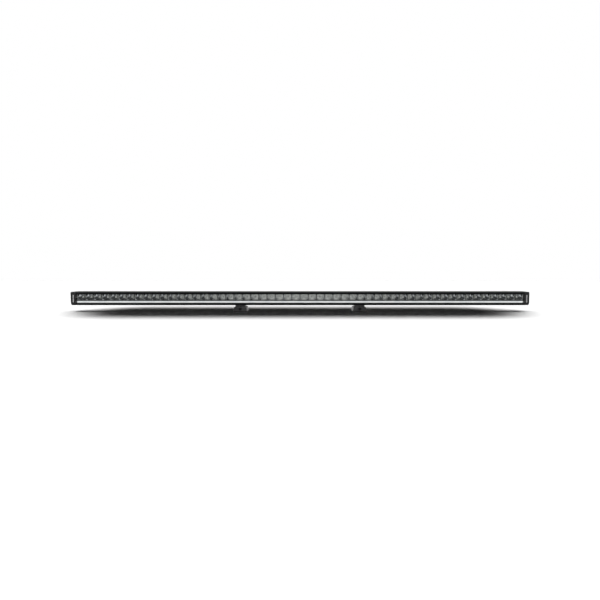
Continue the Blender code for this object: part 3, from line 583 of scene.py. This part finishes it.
def extrusion_outline():
    rooms = (  # front, floor and ceiling of each room, from the window back
        (FRONT, 6.8 * MM, 30.7 * MM),
        (FRONT + 1.8 * MM, 4.0 * MM, 33.4 * MM),
        (-22.0 * MM, 5.8 * MM, 31.7 * MM),
        (-11.5 * MM, FLOOR, CEILING),
    )
    room_ends = [y for y, *_ in rooms[1:]] + [0]
    lower, upper = [], []
    for (y, low, high), end in zip(rooms, room_ends):
        lower += [(y, low), (end, low)]
        upper += [(y, high), (end, high)]
    boss_front, boss_back, boss_top = -8.6 * MM, -3.4 * MM, 12.9 * MM
    boss = [(boss_front, FLOOR), (boss_front, boss_top), (boss_back, boss_top), (boss_back, FLOOR)]
    edge = 0.5 * MM
    fin_count = 7
    fin_thick = 2.2 * MM
    fin_round = 0.9 * MM
    points = [(FRONT, CHAMFER, edge)] + lower[:-1] + boss + lower[-1:] + upper[::-1]
    points.append((FRONT, HEIGHT, 1.5 * MM))
    pitch = (HEIGHT - fin_thick) / (fin_count - 1)
    for i in reversed(range(fin_count)):
        foot = i * pitch
        tip = fin_tip(foot + fin_thick / 2)
        if i < fin_count - 1:
            points.append((REAR_WALL[1], foot + fin_thick, fin_round))
        points += [(tip, foot + fin_thick, fin_round), (tip, foot, fin_round)]
        if i > 0:
            points.append((REAR_WALL[1], foot, fin_round))
    mouth, cavity = 5.0 * MM, 9.0 * MM  # half widths of the rail's slot and of the room behind it
    lip, roof = 2.2 * MM, 7.2 * MM
    half_rail = [(mouth, 0), (mouth, lip), (cavity, lip), (cavity, roof)]
    points += half_rail + [(-y, h) for y, h in reversed(half_rail)]
    points.append((FRONT + CHAMFER, 0, edge))
    return points


def make_extrusion():
    board_wall_back = 4.0 * MM
    corner = (8.8 * MM, 29.3 * MM)  # left solid for the upper rear cap screw
    chamber = [
        (board_wall_back, FLOOR),
        (REAR_WALL[0], FLOOR),
        (REAR_WALL[0], corner[1]),
        corner,
        (corner[0], CEILING),
        (board_wall_back, CEILING),
    ]
    holes = [softened(section(chamber), 0.4 * MM)]
    for _, y, h, radius, _ in CAP_SCREWS:
        holes.append(circle(y, UNDERSIDE + h, radius + GAP, 24))
    outline = softened(section(extrusion_outline()), 0.3 * MM, 3)
    bar = new_object("bar_extrusion", prism([outline] + holes, "X", -HALF, HALF))

    level, pocket_half = UNDERSIDE + HEIGHT / 2, 10.1 * MM
    cuts = []
    for node, half, hole in (("gland_nut", 13 * MM, 6.3 * MM), ("breather_vent", 11 * MM, 4.5 * MM)):
        x = sum(c.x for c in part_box(node)) / 2
        pocket = rounded(x, level, half, pocket_half, 1.2 * MM)
        cuts.append(prism([pocket], "Y", REAR_WALL[1], bar_high.y + PAST))
        cuts.append(prism([circle(x, level, hole)], "Y", REAR_WALL[0] - MM, REAR_WALL[1] + MM))
    carve(bar, cuts)
    piece(bar, ANODISED, "bar", "anodised_black", "housing")


def make_lens():
    low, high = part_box("lens")
    flange_front, flange_back = FRONT + 2.1 * MM, high.y
    window = (UNDERSIDE + 7.1 * MM, UNDERSIDE + 30.4 * MM)
    edge = 0.9 * MM
    outline = [
        (flange_back, low.z),
        (flange_front, low.z),
        (flange_front, window[0]),
        (low.y, window[0], edge),
        (low.y, window[1], edge),
        (flange_front, window[1]),
        (flange_front, high.z),
        (flange_back, high.z),
    ]
    lens = new_object("clear_lens", prism([softened(outline, 0.25 * MM)], "X", low.x, high.x))
    piece(lens, CLEAR, "bar", "lens_clear", "lens")


def mouth_reach(angle, half_wide, half_tall, corner):
    """How far a rounded rectangle reaches from its middle at an angle."""
    c, s = abs(math.cos(angle)), abs(math.sin(angle))
    reach = min(half_wide / max(c, 1e-6), half_tall / max(s, 1e-6))
    cu, cv = half_wide - corner, half_tall - corner
    if reach * c > cu and reach * s > cv:
        along = cu * c + cv * s
        reach = along + math.sqrt(max(along**2 - cu**2 - cv**2 + corner**2, 0.0))
    return reach


def reflector(low, high, centres, height):
    """A block of cups. Each is a parabola of revolution about its emitter, cut by the four flat walls
    between it and its neighbours."""
    sides, rings, wall_rings = 72, 9, 2
    focal_times_four = 10.0 * MM
    throat = 3.0 * MM
    side_rim, top_rim = 0.5 * MM, 0.8 * MM
    lead = 0.25 * MM  # the rounded lead-in at the mouth
    half_wide = CELL_PITCH / 2 - side_rim - lead
    half_tall = (high.z - low.z) / 2 - top_rim - lead
    depth = high.y - low.y
    bm = bmesh.new()
    front, back = [], []

    def rim_edges(ring):
        return [bm.edges.get((ring[i - 1], ring[i])) for i in range(len(ring))]

    sheet = rectangle(low.x, high.x, low.z, high.z)
    outer = [[bm.verts.new((x, y, z)) for x, z in sheet] for y in (low.y, high.y)]
    skin(bm, *outer)
    front += rim_edges(outer[0])
    back += rim_edges(outer[1])
    for x in centres:
        cup = []
        for k in range(rings + wall_rings + 2):
            ring = []
            for i in range(sides):
                angle = 2 * math.pi * (i + 0.5) / sides
                reach = mouth_reach(angle, half_wide, half_tall, 1.2 * MM)
                crease = min((reach**2 - throat**2) / focal_times_four, depth - lead)
                if k <= rings:
                    deep = crease * k / rings
                    radius = math.sqrt(throat**2 + focal_times_four * deep)
                else:
                    deep = min(crease + (depth - lead - crease) * (k - rings) / wall_rings, depth - lead)
                    radius = reach
                if k == rings + wall_rings + 1:
                    deep, radius = depth, reach + lead
                u, v = x + radius * math.cos(angle), height + radius * math.sin(angle)
                ring.append(bm.verts.new((u, high.y - deep, v)))
            cup.append(ring)
        for one, two in zip(cup, cup[1:]):
            skin(bm, one, two)
        back += rim_edges(cup[0])
        front += rim_edges(cup[-1])
    for loop in (front, back):
        bmesh.ops.triangle_fill(bm, use_beauty=True, use_dissolve=False, edges=loop)
    return bm


def cell_x(index):
    return (index - (CELL_COUNT - 1) / 2) * CELL_PITCH


def make_reflectors():
    for number in range(CELL_COUNT // CELLS_PER_REFLECTOR):
        node = f"reflector_{number + 1}"
        low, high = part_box(node)
        centres = [cell_x(number * CELLS_PER_REFLECTOR + i) for i in range(CELLS_PER_REFLECTOR)]
        bm = reflector(low, high, centres, (low.z + high.z) / 2)
        piece(new_object(f"mirror_module_{number + 1}", bm), CHROME, "bar", "reflector_chrome", node)


def emitter_shapes(x, z, face):
    """One emitter: the white package on the board and the dome on it. The face is the board's front."""
    half = 1.725 * MM
    radius, dome_foot, dome_stretch = 1.42 * MM, face - 0.8 * MM, 1.3
    steps = 8
    package = []
    for y, ease in ((face + 0.1 * MM, 0), (face - 0.75 * MM, 0), (face - 0.9 * MM, 0.12 * MM)):
        reach = half - ease
        package.append((rounded(x, z, reach, reach, 0.4 * MM), y))
    dome = [(0, dome_foot)]
    for k in range(steps):
        angle = math.pi / 2 * k / steps
        dome.append((radius * math.cos(angle), dome_foot - dome_stretch * radius * math.sin(angle)))
    dome.append((0, dome_foot - dome_stretch * radius))
    return loft(package, "Y"), turned(dome, "Y", (x, z, 0), 32)


def make_led_boards():
    thickness = 1.6 * MM
    for number in range(CELL_COUNT // CELLS_PER_BOARD):
        node = f"led_board_{number + 1}"
        low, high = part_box(node)
        face = high.y - thickness
        level = (low.z + high.z) / 2
        outline = softened(rectangle(low.x, high.x, low.z, high.z), 1.2 * MM)
        slab = prism([outline], "Y", face, high.y)
        shapes = [emitter_shapes(cell_x(number * CELLS_PER_BOARD + i), level, face)
                  for i in range(CELLS_PER_BOARD)]
        bench = join([slab] + [package for package, _ in shapes])
        piece(new_object(f"emitter_board_{number + 1}", bench), WHITE_BOARD, "bar", "board_white", node)
        domes = join([dome for _, dome in shapes])
        piece(new_object(f"emitter_domes_{number + 1}", domes), PHOSPHOR, "bar", "opal_strip", node)


def make_opal_strip():
    """The strip's lower edge stands a little above the sill of the window, so that a dark line shows."""
    low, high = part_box("position_light_diffuser")
    lower_edge = low.z + 0.9 * MM
    crown = 1.8 * MM
    outline = [
        (high.y, lower_edge),
        (low.y, lower_edge, crown),
        (low.y, high.z, crown),
        (high.y, high.z),
    ]
    strip = new_object("opal_strip", prism([softened(outline, 0.3 * MM, 6)], "X", low.x, high.x))
    piece(strip, OPAL, "bar", "opal_strip", "position_light_diffuser")


def cap_outline(inset):
    """The end cap's section, drawn in from every side and most of all from below."""
    radius, top_radius, chamfer_round = 2.0 * MM, 1.5 * MM, 1.2 * MM
    front = FRONT + inset
    low, high = 1.25 * inset, HEIGHT - 0.85 * inset
    steps = 10
    back = [low + radius + (high - low - 2 * radius) * i / steps for i in range(1, steps)]
    corners = [
        (front, high / 2),
        (front, low + CHAMFER, chamfer_round),
        (front + CHAMFER, low, chamfer_round),
        (front + 2 * CHAMFER, low),
    ]
    edge = softened(corners, 0)
    return section(
        edge[1:-1]
        + arc(fin_tip(low) - inset - radius, low + radius, radius, 270, 360, 6)
        + [(fin_tip(h) - inset, h) for h in back]
        + arc(fin_tip(high) - inset - radius, high - radius, radius, 0, 90, 6)
        + arc(front + top_radius, high - top_radius, top_radius, 90, 180, 6)
    )


def cap_dome(share):
    """How far the cap is drawn in at a share of the way along its rounded end: slowly, then steeply."""
    deepest = 14.0 * MM
    return min(deepest * (1 - (1 - share**2.2) ** 0.33), deepest - 0.1 * MM)


def cap_screw(outward, inner, outer, radius, head, y, h):
    """The bore of one cap screw, open to the end, and the screw in it."""
    seat = inner + 8.5 * MM
    under_head = seat + GAP
    tall = 3.0 * MM
    top = under_head + tall
    tip = HALF - 9 * MM
    socket = 0.8 * radius
    edge, crown = 0.2 * MM, 0.5 * MM
    bore = [
        (0, inner - PAST), (radius + GAP, inner - PAST), (radius + GAP, seat),
        (head + GAP, seat), (head + GAP, outer + PAST), (0, outer + PAST),
    ]
    screw = [(0, tip), (radius * 0.6, tip), (radius, tip + MM)]
    screw += [(radius, under_head), (head - edge, under_head), (head, under_head + edge)]
    screw += arc(head - crown, top - crown, crown, 0, 90, 4)
    screw += [(socket * 1.12, top), (socket, top - 0.15 * MM, "hex"), (socket, top - 0.6 * tall, "hex")]
    screw += [(0, top - 0.7 * tall)]
    centre = (y, UNDERSIDE + h, 0)
    shapes = []
    for profile in (bore, screw):
        shapes.append(turned([(p[0], outward * p[1], *p[2:]) for p in profile], "X", centre))
    return shapes


def make_end(outward, word):
    low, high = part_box("end_cap_" + word)
    inner, outer = sorted((abs(low.x), abs(high.x)))
    straight, ease = 10.4 * MM, 0.25 * MM
    stations = [(0.0, ease), (ease, 0.0), (straight, 0.0)]
    steps = 16
    for k in range(1, steps + 1):
        share = math.sin(math.pi / 2 * k / steps)
        stations.append((straight + (outer - inner - straight) * share, cap_dome(share)))
    rings = [(cap_outline(inset), outward * (inner + along)) for along, inset in stations]
    cap = new_object("cap_" + word, loft(rings, "X"))

    cuts = []
    for name, y, h, radius, head in CAP_SCREWS:
        bore, screw = cap_screw(outward, inner, outer, radius, head, y, h)
        cuts.append(bore)
        node = f"cap_screw_{word}_{name}"
        piece(new_object(f"socket_screw_{word}_{name}", screw), BLACK_STEEL, "bar", "black_screw", node)

    trim_low, trim_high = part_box("end_trim_" + word)
    slot = rectangle(trim_low.x - GAP, trim_high.x + GAP, trim_low.z - GAP, trim_high.z + GAP)
    cuts.append(prism([softened(slot, 1.0 * MM)], "Y", FRONT - MM, trim_high.y + GAP))
    carve(cap, cuts)
    ease_edges(cap, 0.15 * MM)
    piece(cap, COAT, "bar", "coated_black", "end_cap_" + word)

    rings = []
    for y, inset in (
        (trim_high.y, 0),
        (trim_low.y + 0.35 * MM, 0),
        (trim_low.y + 0.1 * MM, 0.12 * MM),
        (trim_low.y, 0.4 * MM),
    ):
        outline = rectangle(trim_low.x + inset, trim_high.x - inset, trim_low.z + inset, trim_high.z - inset)
        rings.append((softened(outline, 0.9 * MM, 5), y))
    trim = new_object("insert_" + word, loft(rings, "Y"))
    piece(trim, SATIN, "bar", "satin_insert", "end_trim_" + word)


def make_gland():
    """The cable gland's body, its hexagon cap nut and the seal inside them."""
    low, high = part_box("gland_nut")
    x, z = (low.x + high.x) / 2, (low.z + high.z) / 2
    wall, reach = REAR_WALL[1], high.y
    inner_end = REAR_WALL[0] - 0.6 * MM
    flange = wall + GAP
    seat = wall + 3.4 * MM
    collar = seat + 4.4 * MM  # where the nut's hexagon ends
    bore, spigot, thread = 3.6 * MM, 6.0 * MM, 5.6 * MM
    flats, eased = 7.5 * MM, 7.2 * MM  # half the hexagons' width, and where their edges are eased
    body = [
        (bore, inner_end), (spigot - GAP, inner_end), (spigot, inner_end + GAP),
        (spigot, flange), (eased, flange, "hex"), (flats, flange + GAP, "hex"),
        (flats, seat - 2 * GAP, "hex"), (eased, seat - GAP, "hex"), (thread, seat - GAP),
        (thread, seat + 2.8 * MM), (thread - 0.2 * MM, seat + 3.0 * MM),
        (bore, seat + 3.0 * MM),
    ]
    nut = [
        (thread + GAP, seat), (eased, seat, "hex"), (flats, seat + GAP, "hex"),
        (flats, collar - GAP, "hex"), (eased, collar, "hex"),
        (6.6 * MM, collar + 0.2 * MM), (6.3 * MM, collar + 1.0 * MM),
        (5.8 * MM, reach - 1.2 * MM), (5.2 * MM, reach - 0.5 * MM),
        (4.6 * MM, reach - 0.1 * MM), (4.2 * MM, reach), (bore + GAP, reach - 0.2 * MM),
        (bore + GAP, seat + 3.6 * MM), (thread + GAP, seat + 3.6 * MM),
    ]
    for name, profile, node in (("gland_body", body, "cable_gland"), ("gland_cap_nut", nut, "gland_nut")):
        bm = turned(profile, "Y", (x, z, 0), 2 * FINE, closed=True)
        piece(new_object(name, bm), NYLON, "bar", "black_plastic", node)

    low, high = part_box("gland_seal")
    outer, bore, edge = (high.x - low.x) / 2, 1.7 * MM, 0.5 * MM
    seal = [
        (bore, low.y), (outer, low.y), (outer, high.y - edge), (outer - edge, high.y),
        (bore + 0.9 * MM, high.y - 0.25 * MM), (bore + 0.3 * MM, high.y - 0.8 * MM),
        (bore, high.y - 1.4 * MM),
    ]
    bm = turned(seal, "Y", (x, z, 0), FINE, closed=True)
    piece(new_object("gland_rubber", bm), RUBBER, "bar", "seal_rubber", "gland_seal")


def make_vent():
    """The breather vent: a stem through the wall, a flange and a ribbed cap with a dimple."""
    low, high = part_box("breather_vent")
    x, z = (low.x + high.x) / 2, (low.z + high.z) / 2
    wall, crown = REAR_WALL[1], high.y
    stem, flange, cap = 4.2 * MM, 7.0 * MM, 5.5 * MM
    edge = 0.3 * MM
    profile = [
        (0, low.y), (stem - edge, low.y), (stem, low.y + edge), (stem, wall + GAP),
        (flange - 0.2 * MM, wall + GAP), (flange, wall + 0.5 * MM),
        (flange, wall + 1.5 * MM), (flange - edge, wall + 1.9 * MM),
        (cap + 0.1 * MM, wall + 2.0 * MM), (cap, wall + 2.3 * MM, "ribs"),
        (cap - 0.1 * MM, crown - 0.9 * MM, "ribs"), (cap - 0.4 * MM, crown - 0.4 * MM),
        (cap - 0.9 * MM, crown - 0.1 * MM), (cap - 1.3 * MM, crown), (1.2 * MM, crown),
        (0.9 * MM, crown - 0.3 * MM), (0, crown - 0.3 * MM),
    ]
    plug = new_object("vent_plug", turned(profile, "Y", (x, z, 0), 2 * FINE))
    piece(plug, NYLON, "bar", "black_plastic", "breather_vent")


def keep_hidden_parts():
    """The CAD nodes inside the bar keep their own shapes and take a material."""
    for node, material in (
        ("lens_gasket", RUBBER),
        ("end_gasket_left", RUBBER),
        ("end_gasket_right", RUBBER),
        ("light_divider", NYLON),
        ("position_light_board", WHITE_BOARD),
        ("driver_board", GREEN_BOARD),
        ("thermal_pad", THERMAL),
    ):
        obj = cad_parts[node]
        obj.data.materials.clear()
        obj.data.materials.append(material)


# The brackets --------

JAM_SCREWS = (("front", -9.5 * MM, -12 * MM), ("rear", 9.5 * MM, 12 * MM))
KEY_HOLE = 1.8 * MM  # radius of the holes in the foot for the key that turns them
EYE = 4.3 * MM  # radius of the block's eye, and of the recesses at its bolt's ends
PIN = 2.5 * MM  # radius of the pivot bolt, the lock screw and the jam screws
BLOCK_HALF = 27.5 * MM / 2
BASE_TOP = 3.9 * MM  # the floor of the foot's well
BOLT_SEAT = 16.1 * MM  # where the pivot bolt's head and nut bear on the cheeks
MOUNT_Y, MOUNT_RADIUS = 14 * MM, 3.4 * MM
FOOT_CORNER = 3 * MM
SOCKET = 1.5 * MM  # half the width of the pivot bolt's and the lock screw's hexagons


def make_slide_block(word):
    """The T-headed block with its eye, and the two jam screws in it."""
    x0 = FOOT_X[word]
    body = "slider_" + word
    low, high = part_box("slide_block_" + word)
    half = (high.y - low.y) / 2
    underside, top = 12.3 * MM, UNDERSIDE - GAP
    neck, head = 4.6 * MM, 8.6 * MM
    head_low = UNDERSIDE + 2.5 * MM
    edge, crease = 0.8 * MM, 0.4 * MM
    half_block = [
        (EYE, underside - MM, crease),
        (EYE + MM, underside, edge),
        (half, underside, edge),
        (half, top, edge),
        (neck, top),
        (neck, head_low),
        (head, head_low),
        (head, high.z),
    ]
    other_half = [(-y, *rest) for y, *rest in reversed(half_block)]
    outline = arc(0, PIVOT_Z, EYE, 180, 360, 16) + half_block + other_half
    bm = prism([softened(outline, 0.3 * MM), circle(0, PIVOT_Z, PIN + GAP)], "X", low.x, high.x)
    block = new_object("slider_" + word, bm)

    channel_half, channel_roof = 3.2 * MM, 15.4 * MM
    channel_low = (x0 - channel_half, -half - MM, PIVOT_Z)
    cuts = [box(channel_low, (x0 + channel_half, -EYE, channel_roof))]
    socket, socket_deep = 1.25 * MM, 2.0 * MM
    screw_low, screw_top = underside + 0.2 * MM, top - 0.1 * MM
    screw = [
        (0, screw_low + socket_deep + 0.2 * MM), (socket, screw_low + socket_deep, "hex"),
        (socket, screw_low + 0.15 * MM, "hex"), (SOCKET, screw_low),
        (PIN - 0.3 * MM, screw_low), (PIN, screw_low + 0.3 * MM),
        (PIN, screw_top - 0.8 * MM), (PIN * 0.7, screw_top), (0, screw_top),
    ]
    for name, dx, y in JAM_SCREWS:
        cuts.append(prism([circle(x0 + dx, y, PIN + GAP)], "Z", underside - MM, top + MM))
        node = f"jam_screw_{word}_{name}"
        bm = turned(screw, "Z", (x0 + dx, y, 0))
        piece(new_object(f"grub_screw_{word}_{name}", bm), BLACK_STEEL, body, "black_screw", node)
    carve(block, cuts)
    ease_edges(block, 0.3 * MM)
    # The block's lighter coat is painted light, not a paler paint.
    piece(block, PAINTED_LIGHT_COAT, body, "coated_black", "slide_block_" + word)


def foot_shell(word):
    """The foot's outside: rounded upright corners, ends that lean in, and an eased top edge."""
    low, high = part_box("foot_" + word)
    x0 = FOOT_X[word]
    wide, deep = (high.x - low.x) / 2, (high.y - low.y) / 2
    lean, taper = 1.65 * MM, 0.4 * MM
    low_ease, ease = 0.3 * MM, 1.0 * MM
    steps = 5
    rings = [(low.z, 0.0, low_ease), (low.z + low_ease, 0.0, 0.0)]
    for k in range(steps + 1):
        angle = math.pi / 2 * k / steps
        rings.append((high.z - ease + ease * math.sin(angle), lean, taper + ease * (1 - math.cos(angle))))
    outlines = []
    for z, leaning, inset in rings:
        outlines.append((rounded(x0, 0, wide - leaning - inset, deep - inset, FOOT_CORNER, 8), z))
    return loft(outlines, "Z")


def make_foot(word):
    x0 = FOOT_X[word]
    low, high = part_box("foot_" + word)
    deep = (high.y - low.y) / 2
    cheek = BLOCK_HALF + 0.4 * MM
    well = deep - 4.0 * MM
    foot = new_object("bracket_foot_" + word, foot_shell(word))
    pocket = rounded(x0, 0, cheek, well, 1.2 * MM)
    carve(foot, [prism([pocket], "Z", BASE_TOP, high.z + PAST)])

    boss_top = BASE_TOP + 3.4 * MM
    boss = [
        (0, BASE_TOP - MM), (6.8 * MM, BASE_TOP - MM), (6.4 * MM, BASE_TOP + 0.2 * MM),
        (6.0 * MM, BASE_TOP + 0.9 * MM), (5.8 * MM, boss_top), (0, boss_top),
    ]
    carve(foot, [turned(boss, "Z", (x0, MOUNT_Y, 0))], "UNION")

    bore_end = high.x - low.x
    half_bore = [(PIN + GAP, BOLT_SEAT), (EYE, BOLT_SEAT), (EYE, bore_end), (0, bore_end)]
    bore = [(radius, -along) for radius, along in reversed(half_bore)] + half_bore
    cuts = [prism([circle(x0, MOUNT_Y, MOUNT_RADIUS)], "Z", 0, boss_top + PAST)]
    cuts += [prism([circle(x0 + dx, y, KEY_HOLE)], "Z", 0, BASE_TOP + MM) for _, dx, y in JAM_SCREWS]
    cuts.append(turned(bore, "X", (0, PIVOT_Z, x0)))
    cuts.append(prism([circle(x0, PIVOT_Z, PIN + GAP)], "Y", -deep - MM, -well + MM))
    carve(foot, cuts)
    ease_edges(foot, 0.35 * MM)
    # The foot's lighter coat is painted light, not a paler paint.
    piece(foot, PAINTED_LIGHT_COAT, "foot_" + word, "coated_black", "foot_" + word)


def ring_section(outer, low, high, edge, *kind):
    """The profile of a ring round the pivot bolt, with eased outer edges."""
    side = [(outer, low + edge, *kind), (outer, high - edge, *kind)]
    return [(PIN + GAP, low), (outer - edge, low)] + side + [(outer - edge, high), (PIN + GAP, high)]


def make_pivot(outward, word):
    """The bolt that the foot tilts on, with its washer and nut. Its head faces the middle of the bar."""
    head = BOLT_SEAT + GAP
    head_top = head + 2.0 * MM
    head_radius = 4.0 * MM
    washer_top = head + 0.5 * MM
    nut_low = washer_top + GAP
    nut_top = nut_low + 1.5 * MM
    nut_half = 3.5 * MM
    bolt = [
        (0, head + 0.8 * MM), (SOCKET, head + 0.9 * MM, "hex"),
        (SOCKET, head_top - 0.15 * MM, "hex"), (SOCKET + 0.25 * MM, head_top),
        (head_radius - 0.7 * MM, head_top),
        (head_radius - 0.3 * MM, head_top - 0.15 * MM),
        (head_radius - 0.05 * MM, head_top - 0.5 * MM), (head_radius, head + 0.2 * MM),
        (head_radius - 0.2 * MM, head), (PIN, head), (PIN, -nut_top + 0.3 * MM),
        (PIN - 0.3 * MM, -nut_top), (0, -nut_top),
    ]
    washer = ring_section(head_radius, head, washer_top, 0.1 * MM)
    nut = ring_section(nut_half, nut_low, nut_top, 0.2 * MM, "hex")
    for name, profile, direction, ring in (
        ("bolt", bolt, -outward, False),
        ("washer", washer, outward, True),
        ("nut", nut, outward, True),
    ):
        profile = [(p[0], direction * p[1], *p[2:]) for p in profile]
        bm = turned(profile, "X", (0, PIVOT_Z, FOOT_X[word]), FINE, closed=ring)
        node = f"pivot_{name}_{word}"
        piece(new_object(f"hinge_{name}_{word}", bm), STAINLESS, "foot_" + word, "stainless", node)


def make_lock_screw(word):
    """The button-headed screw through the foot's front, which locks the tilt."""
    low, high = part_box("foot_" + word)
    face = (low.y - high.y) / 2 - GAP
    crown = face - 2.4 * MM
    tip = -EYE - 0.8 * MM
    profile = [
        (0, face - 0.9 * MM), (SOCKET, face - 1.0 * MM, "hex"),
        (SOCKET, crown + 0.15 * MM, "hex"), (1.8 * MM, crown), (2.6 * MM, crown),
        (3.3 * MM, crown + 0.25 * MM), (3.9 * MM, crown + 0.75 * MM),
        (4.25 * MM, crown + 1.35 * MM), (4.4 * MM, face - 0.4 * MM), (4.3 * MM, face),
        (PIN, face), (PIN, tip - 0.8 * MM), (PIN * 0.6, tip), (0, tip),
    ]
    screw = new_object("clamp_screw_" + word, turned(profile, "Y", (FOOT_X[word], PIVOT_Z, 0)))
    piece(screw, BLACK_STEEL, "foot_" + word, "black_screw", "lock_screw_" + word)


def make_sole(word):
    """The rubber pad under the foot, with a groove round its side."""
    x0 = FOOT_X[word]
    low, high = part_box("foot_pad_" + word)
    wide, deep = (high.x - low.x) / 2, (high.y - low.y) / 2
    levels = [(0.0, 0.3), (0.3, 0.0), (0.6, 0.0), (0.7, 0.25)]  # height and inset, in millimetres
    levels += [(0.9, 0.25), (1.0, 0.0), (1.3, 0.0), (1.5, 0.2)]
    rings = []
    for level, inset in levels:
        rings.append((rounded(x0, 0, wide - inset * MM, deep - inset * MM, FOOT_CORNER, 6), level * MM))
    pad = new_object("sole_" + word, loft(rings, "Z"))
    holes = [circle(x0, MOUNT_Y, MOUNT_RADIUS + MM)]
    holes += [circle(x0 + dx, y, KEY_HOLE) for _, dx, y in JAM_SCREWS]
    carve(pad, [prism([hole], "Z", -MM, high.z + MM) for hole in holes])
    piece(pad, RUBBER, "foot_" + word, "seal_rubber", "foot_pad_" + word)


# The studio --------


def make_floor():
    bm = bmesh.new()
    half_size, squares = 2.6, 24
    bmesh.ops.create_grid(bm, x_segments=squares, y_segments=squares, size=half_size)
    bmesh.ops.translate(bm, verts=bm.verts, vec=(0, 0, cad_box[0].z))
    floor = new_object("studio_floor", bm)
    floor.data.materials.append(studio_floor())
    floor.visible_glossy = False


def make_flag():
    """A dark card close over the bar that keeps the overhead light off the floor round it, so that the bar
    stands in a wide soft shadow. Only its shadow is seen."""
    half_long, half_wide, radius = 0.615, 0.168, 0.15
    shift = -19 * MM  # towards the camera
    level = cad_box[1].z + 18 * MM
    card = prism([rounded(0, shift, half_long, half_wide, radius, 16)], "Z", level, level + MM)
    flag = new_object("light_flag", card)
    flag.data.materials.append(RUBBER)
    flag.visible_camera = False
    flag.visible_glossy = False
    flag.visible_transmission = False


def make_world():
    """White all round the view. What the bar mirrors is bright behind it and above it and dark in front of
    it. Little light comes from the surroundings themselves."""
    world = bpy.data.worlds.new("studio")
    bpy.context.scene.world = world
    world.use_nodes = True
    nodes = world.node_tree.nodes
    link = world.node_tree.links.new
    seen = nodes["Background"]
    seen.inputs["Color"].default_value = (1, 1, 1, 1)
    mirrored = nodes.new("ShaderNodeBackground")
    ambient = nodes.new("ShaderNodeBackground")
    ambient.inputs["Strength"].default_value = 0.03
    direction = nodes.new("ShaderNodeTexCoord")
    split = nodes.new("ShaderNodeSeparateXYZ")
    link(direction.outputs["Generated"], split.inputs["Vector"])
    brighter = nodes.new("ShaderNodeMath")
    brighter.operation = "MAXIMUM"
    slopes = (("Y", -0.1, 0.95, 0.08, 1.0), ("Z", 0.05, 0.9, 0.0, 2.0))    # axis, from, to, dark, bright
    for i, (axis, start, end, low, high) in enumerate(slopes):
        shade = nodes.new("ShaderNodeMapRange")
        shade.interpolation_type = "SMOOTHSTEP"
        for socket, value in (("From Min", start), ("From Max", end), ("To Min", low), ("To Max", high)):
            shade.inputs[socket].default_value = value
        link(split.outputs[axis], shade.inputs["Value"])
        link(shade.outputs["Result"], brighter.inputs[i])
    link(brighter.outputs[0], mirrored.inputs["Strength"])
    path = nodes.new("ShaderNodeLightPath")
    last = ambient
    for ray, background in (("Is Glossy Ray", mirrored), ("Is Camera Ray", seen)):
        mix = nodes.new("ShaderNodeMixShader")
        link(path.outputs[ray], mix.inputs["Fac"])
        link(last.outputs[0], mix.inputs[1])
        link(background.outputs[0], mix.inputs[2])
        last = mix
    link(last.outputs[0], nodes["World Output"].inputs["Surface"])


def soft_light(name, position, aim, size, power):
    """A broad light that neither the camera nor a reflection shows."""
    light = bpy.data.lights.new(name, "AREA")
    light.shape = "RECTANGLE"
    light.size, light.size_y = size
    light.energy = power
    obj = bpy.data.objects.new(name, light)
    obj.location = position
    obj.rotation_mode = "QUATERNION"
    obj.rotation_quaternion = (Vector(aim) - Vector(position)).to_track_quat("-Z", "Y")
    obj.visible_camera = False
    obj.visible_glossy = False
    bpy.context.scene.collection.objects.link(obj)


def make_camera():
    camera = bpy.data.objects.new("camera", bpy.data.cameras.new("camera"))
    bpy.context.scene.collection.objects.link(camera)
    distance, elevation = 1.45, math.radians(4.0)
    field = 1.684  # how wide a strip the picture shows at that distance
    target = Vector((0, FRONT, UNDERSIDE + HEIGHT / 2 - 4 * MM))
    back = Vector((0, -math.cos(elevation), math.sin(elevation)))
    camera.location = target + back * distance
    camera.rotation_mode = "QUATERNION"
    camera.rotation_quaternion = (-back).to_track_quat("-Z", "Y")
    camera.data.lens = camera.data.sensor_width * distance / field
    camera.data.clip_start = 0.01
    bpy.context.scene.camera = camera


make_extrusion()
make_lens()
make_reflectors()
make_led_boards()
make_opal_strip()
make_gland()
make_vent()
keep_hidden_parts()
for outward, word in ((-1, "left"), (1, "right")):
    make_end(outward, word)
    make_slide_block(word)
    make_foot(word)
    make_pivot(outward, word)
    make_lock_screw(word)
    make_sole(word)

make_floor()
make_flag()
make_world()
soft_light("overhead", (0, 0, 5.0), aim=(0, 0, 0), size=(12, 12), power=905)
soft_light("front_fill", (0, -2.5, 0.1), aim=(0, 0, 0.04), size=(4, 0.2), power=18.5)
make_camera()
bpy.context.scene.view_settings.view_transform = "Standard"
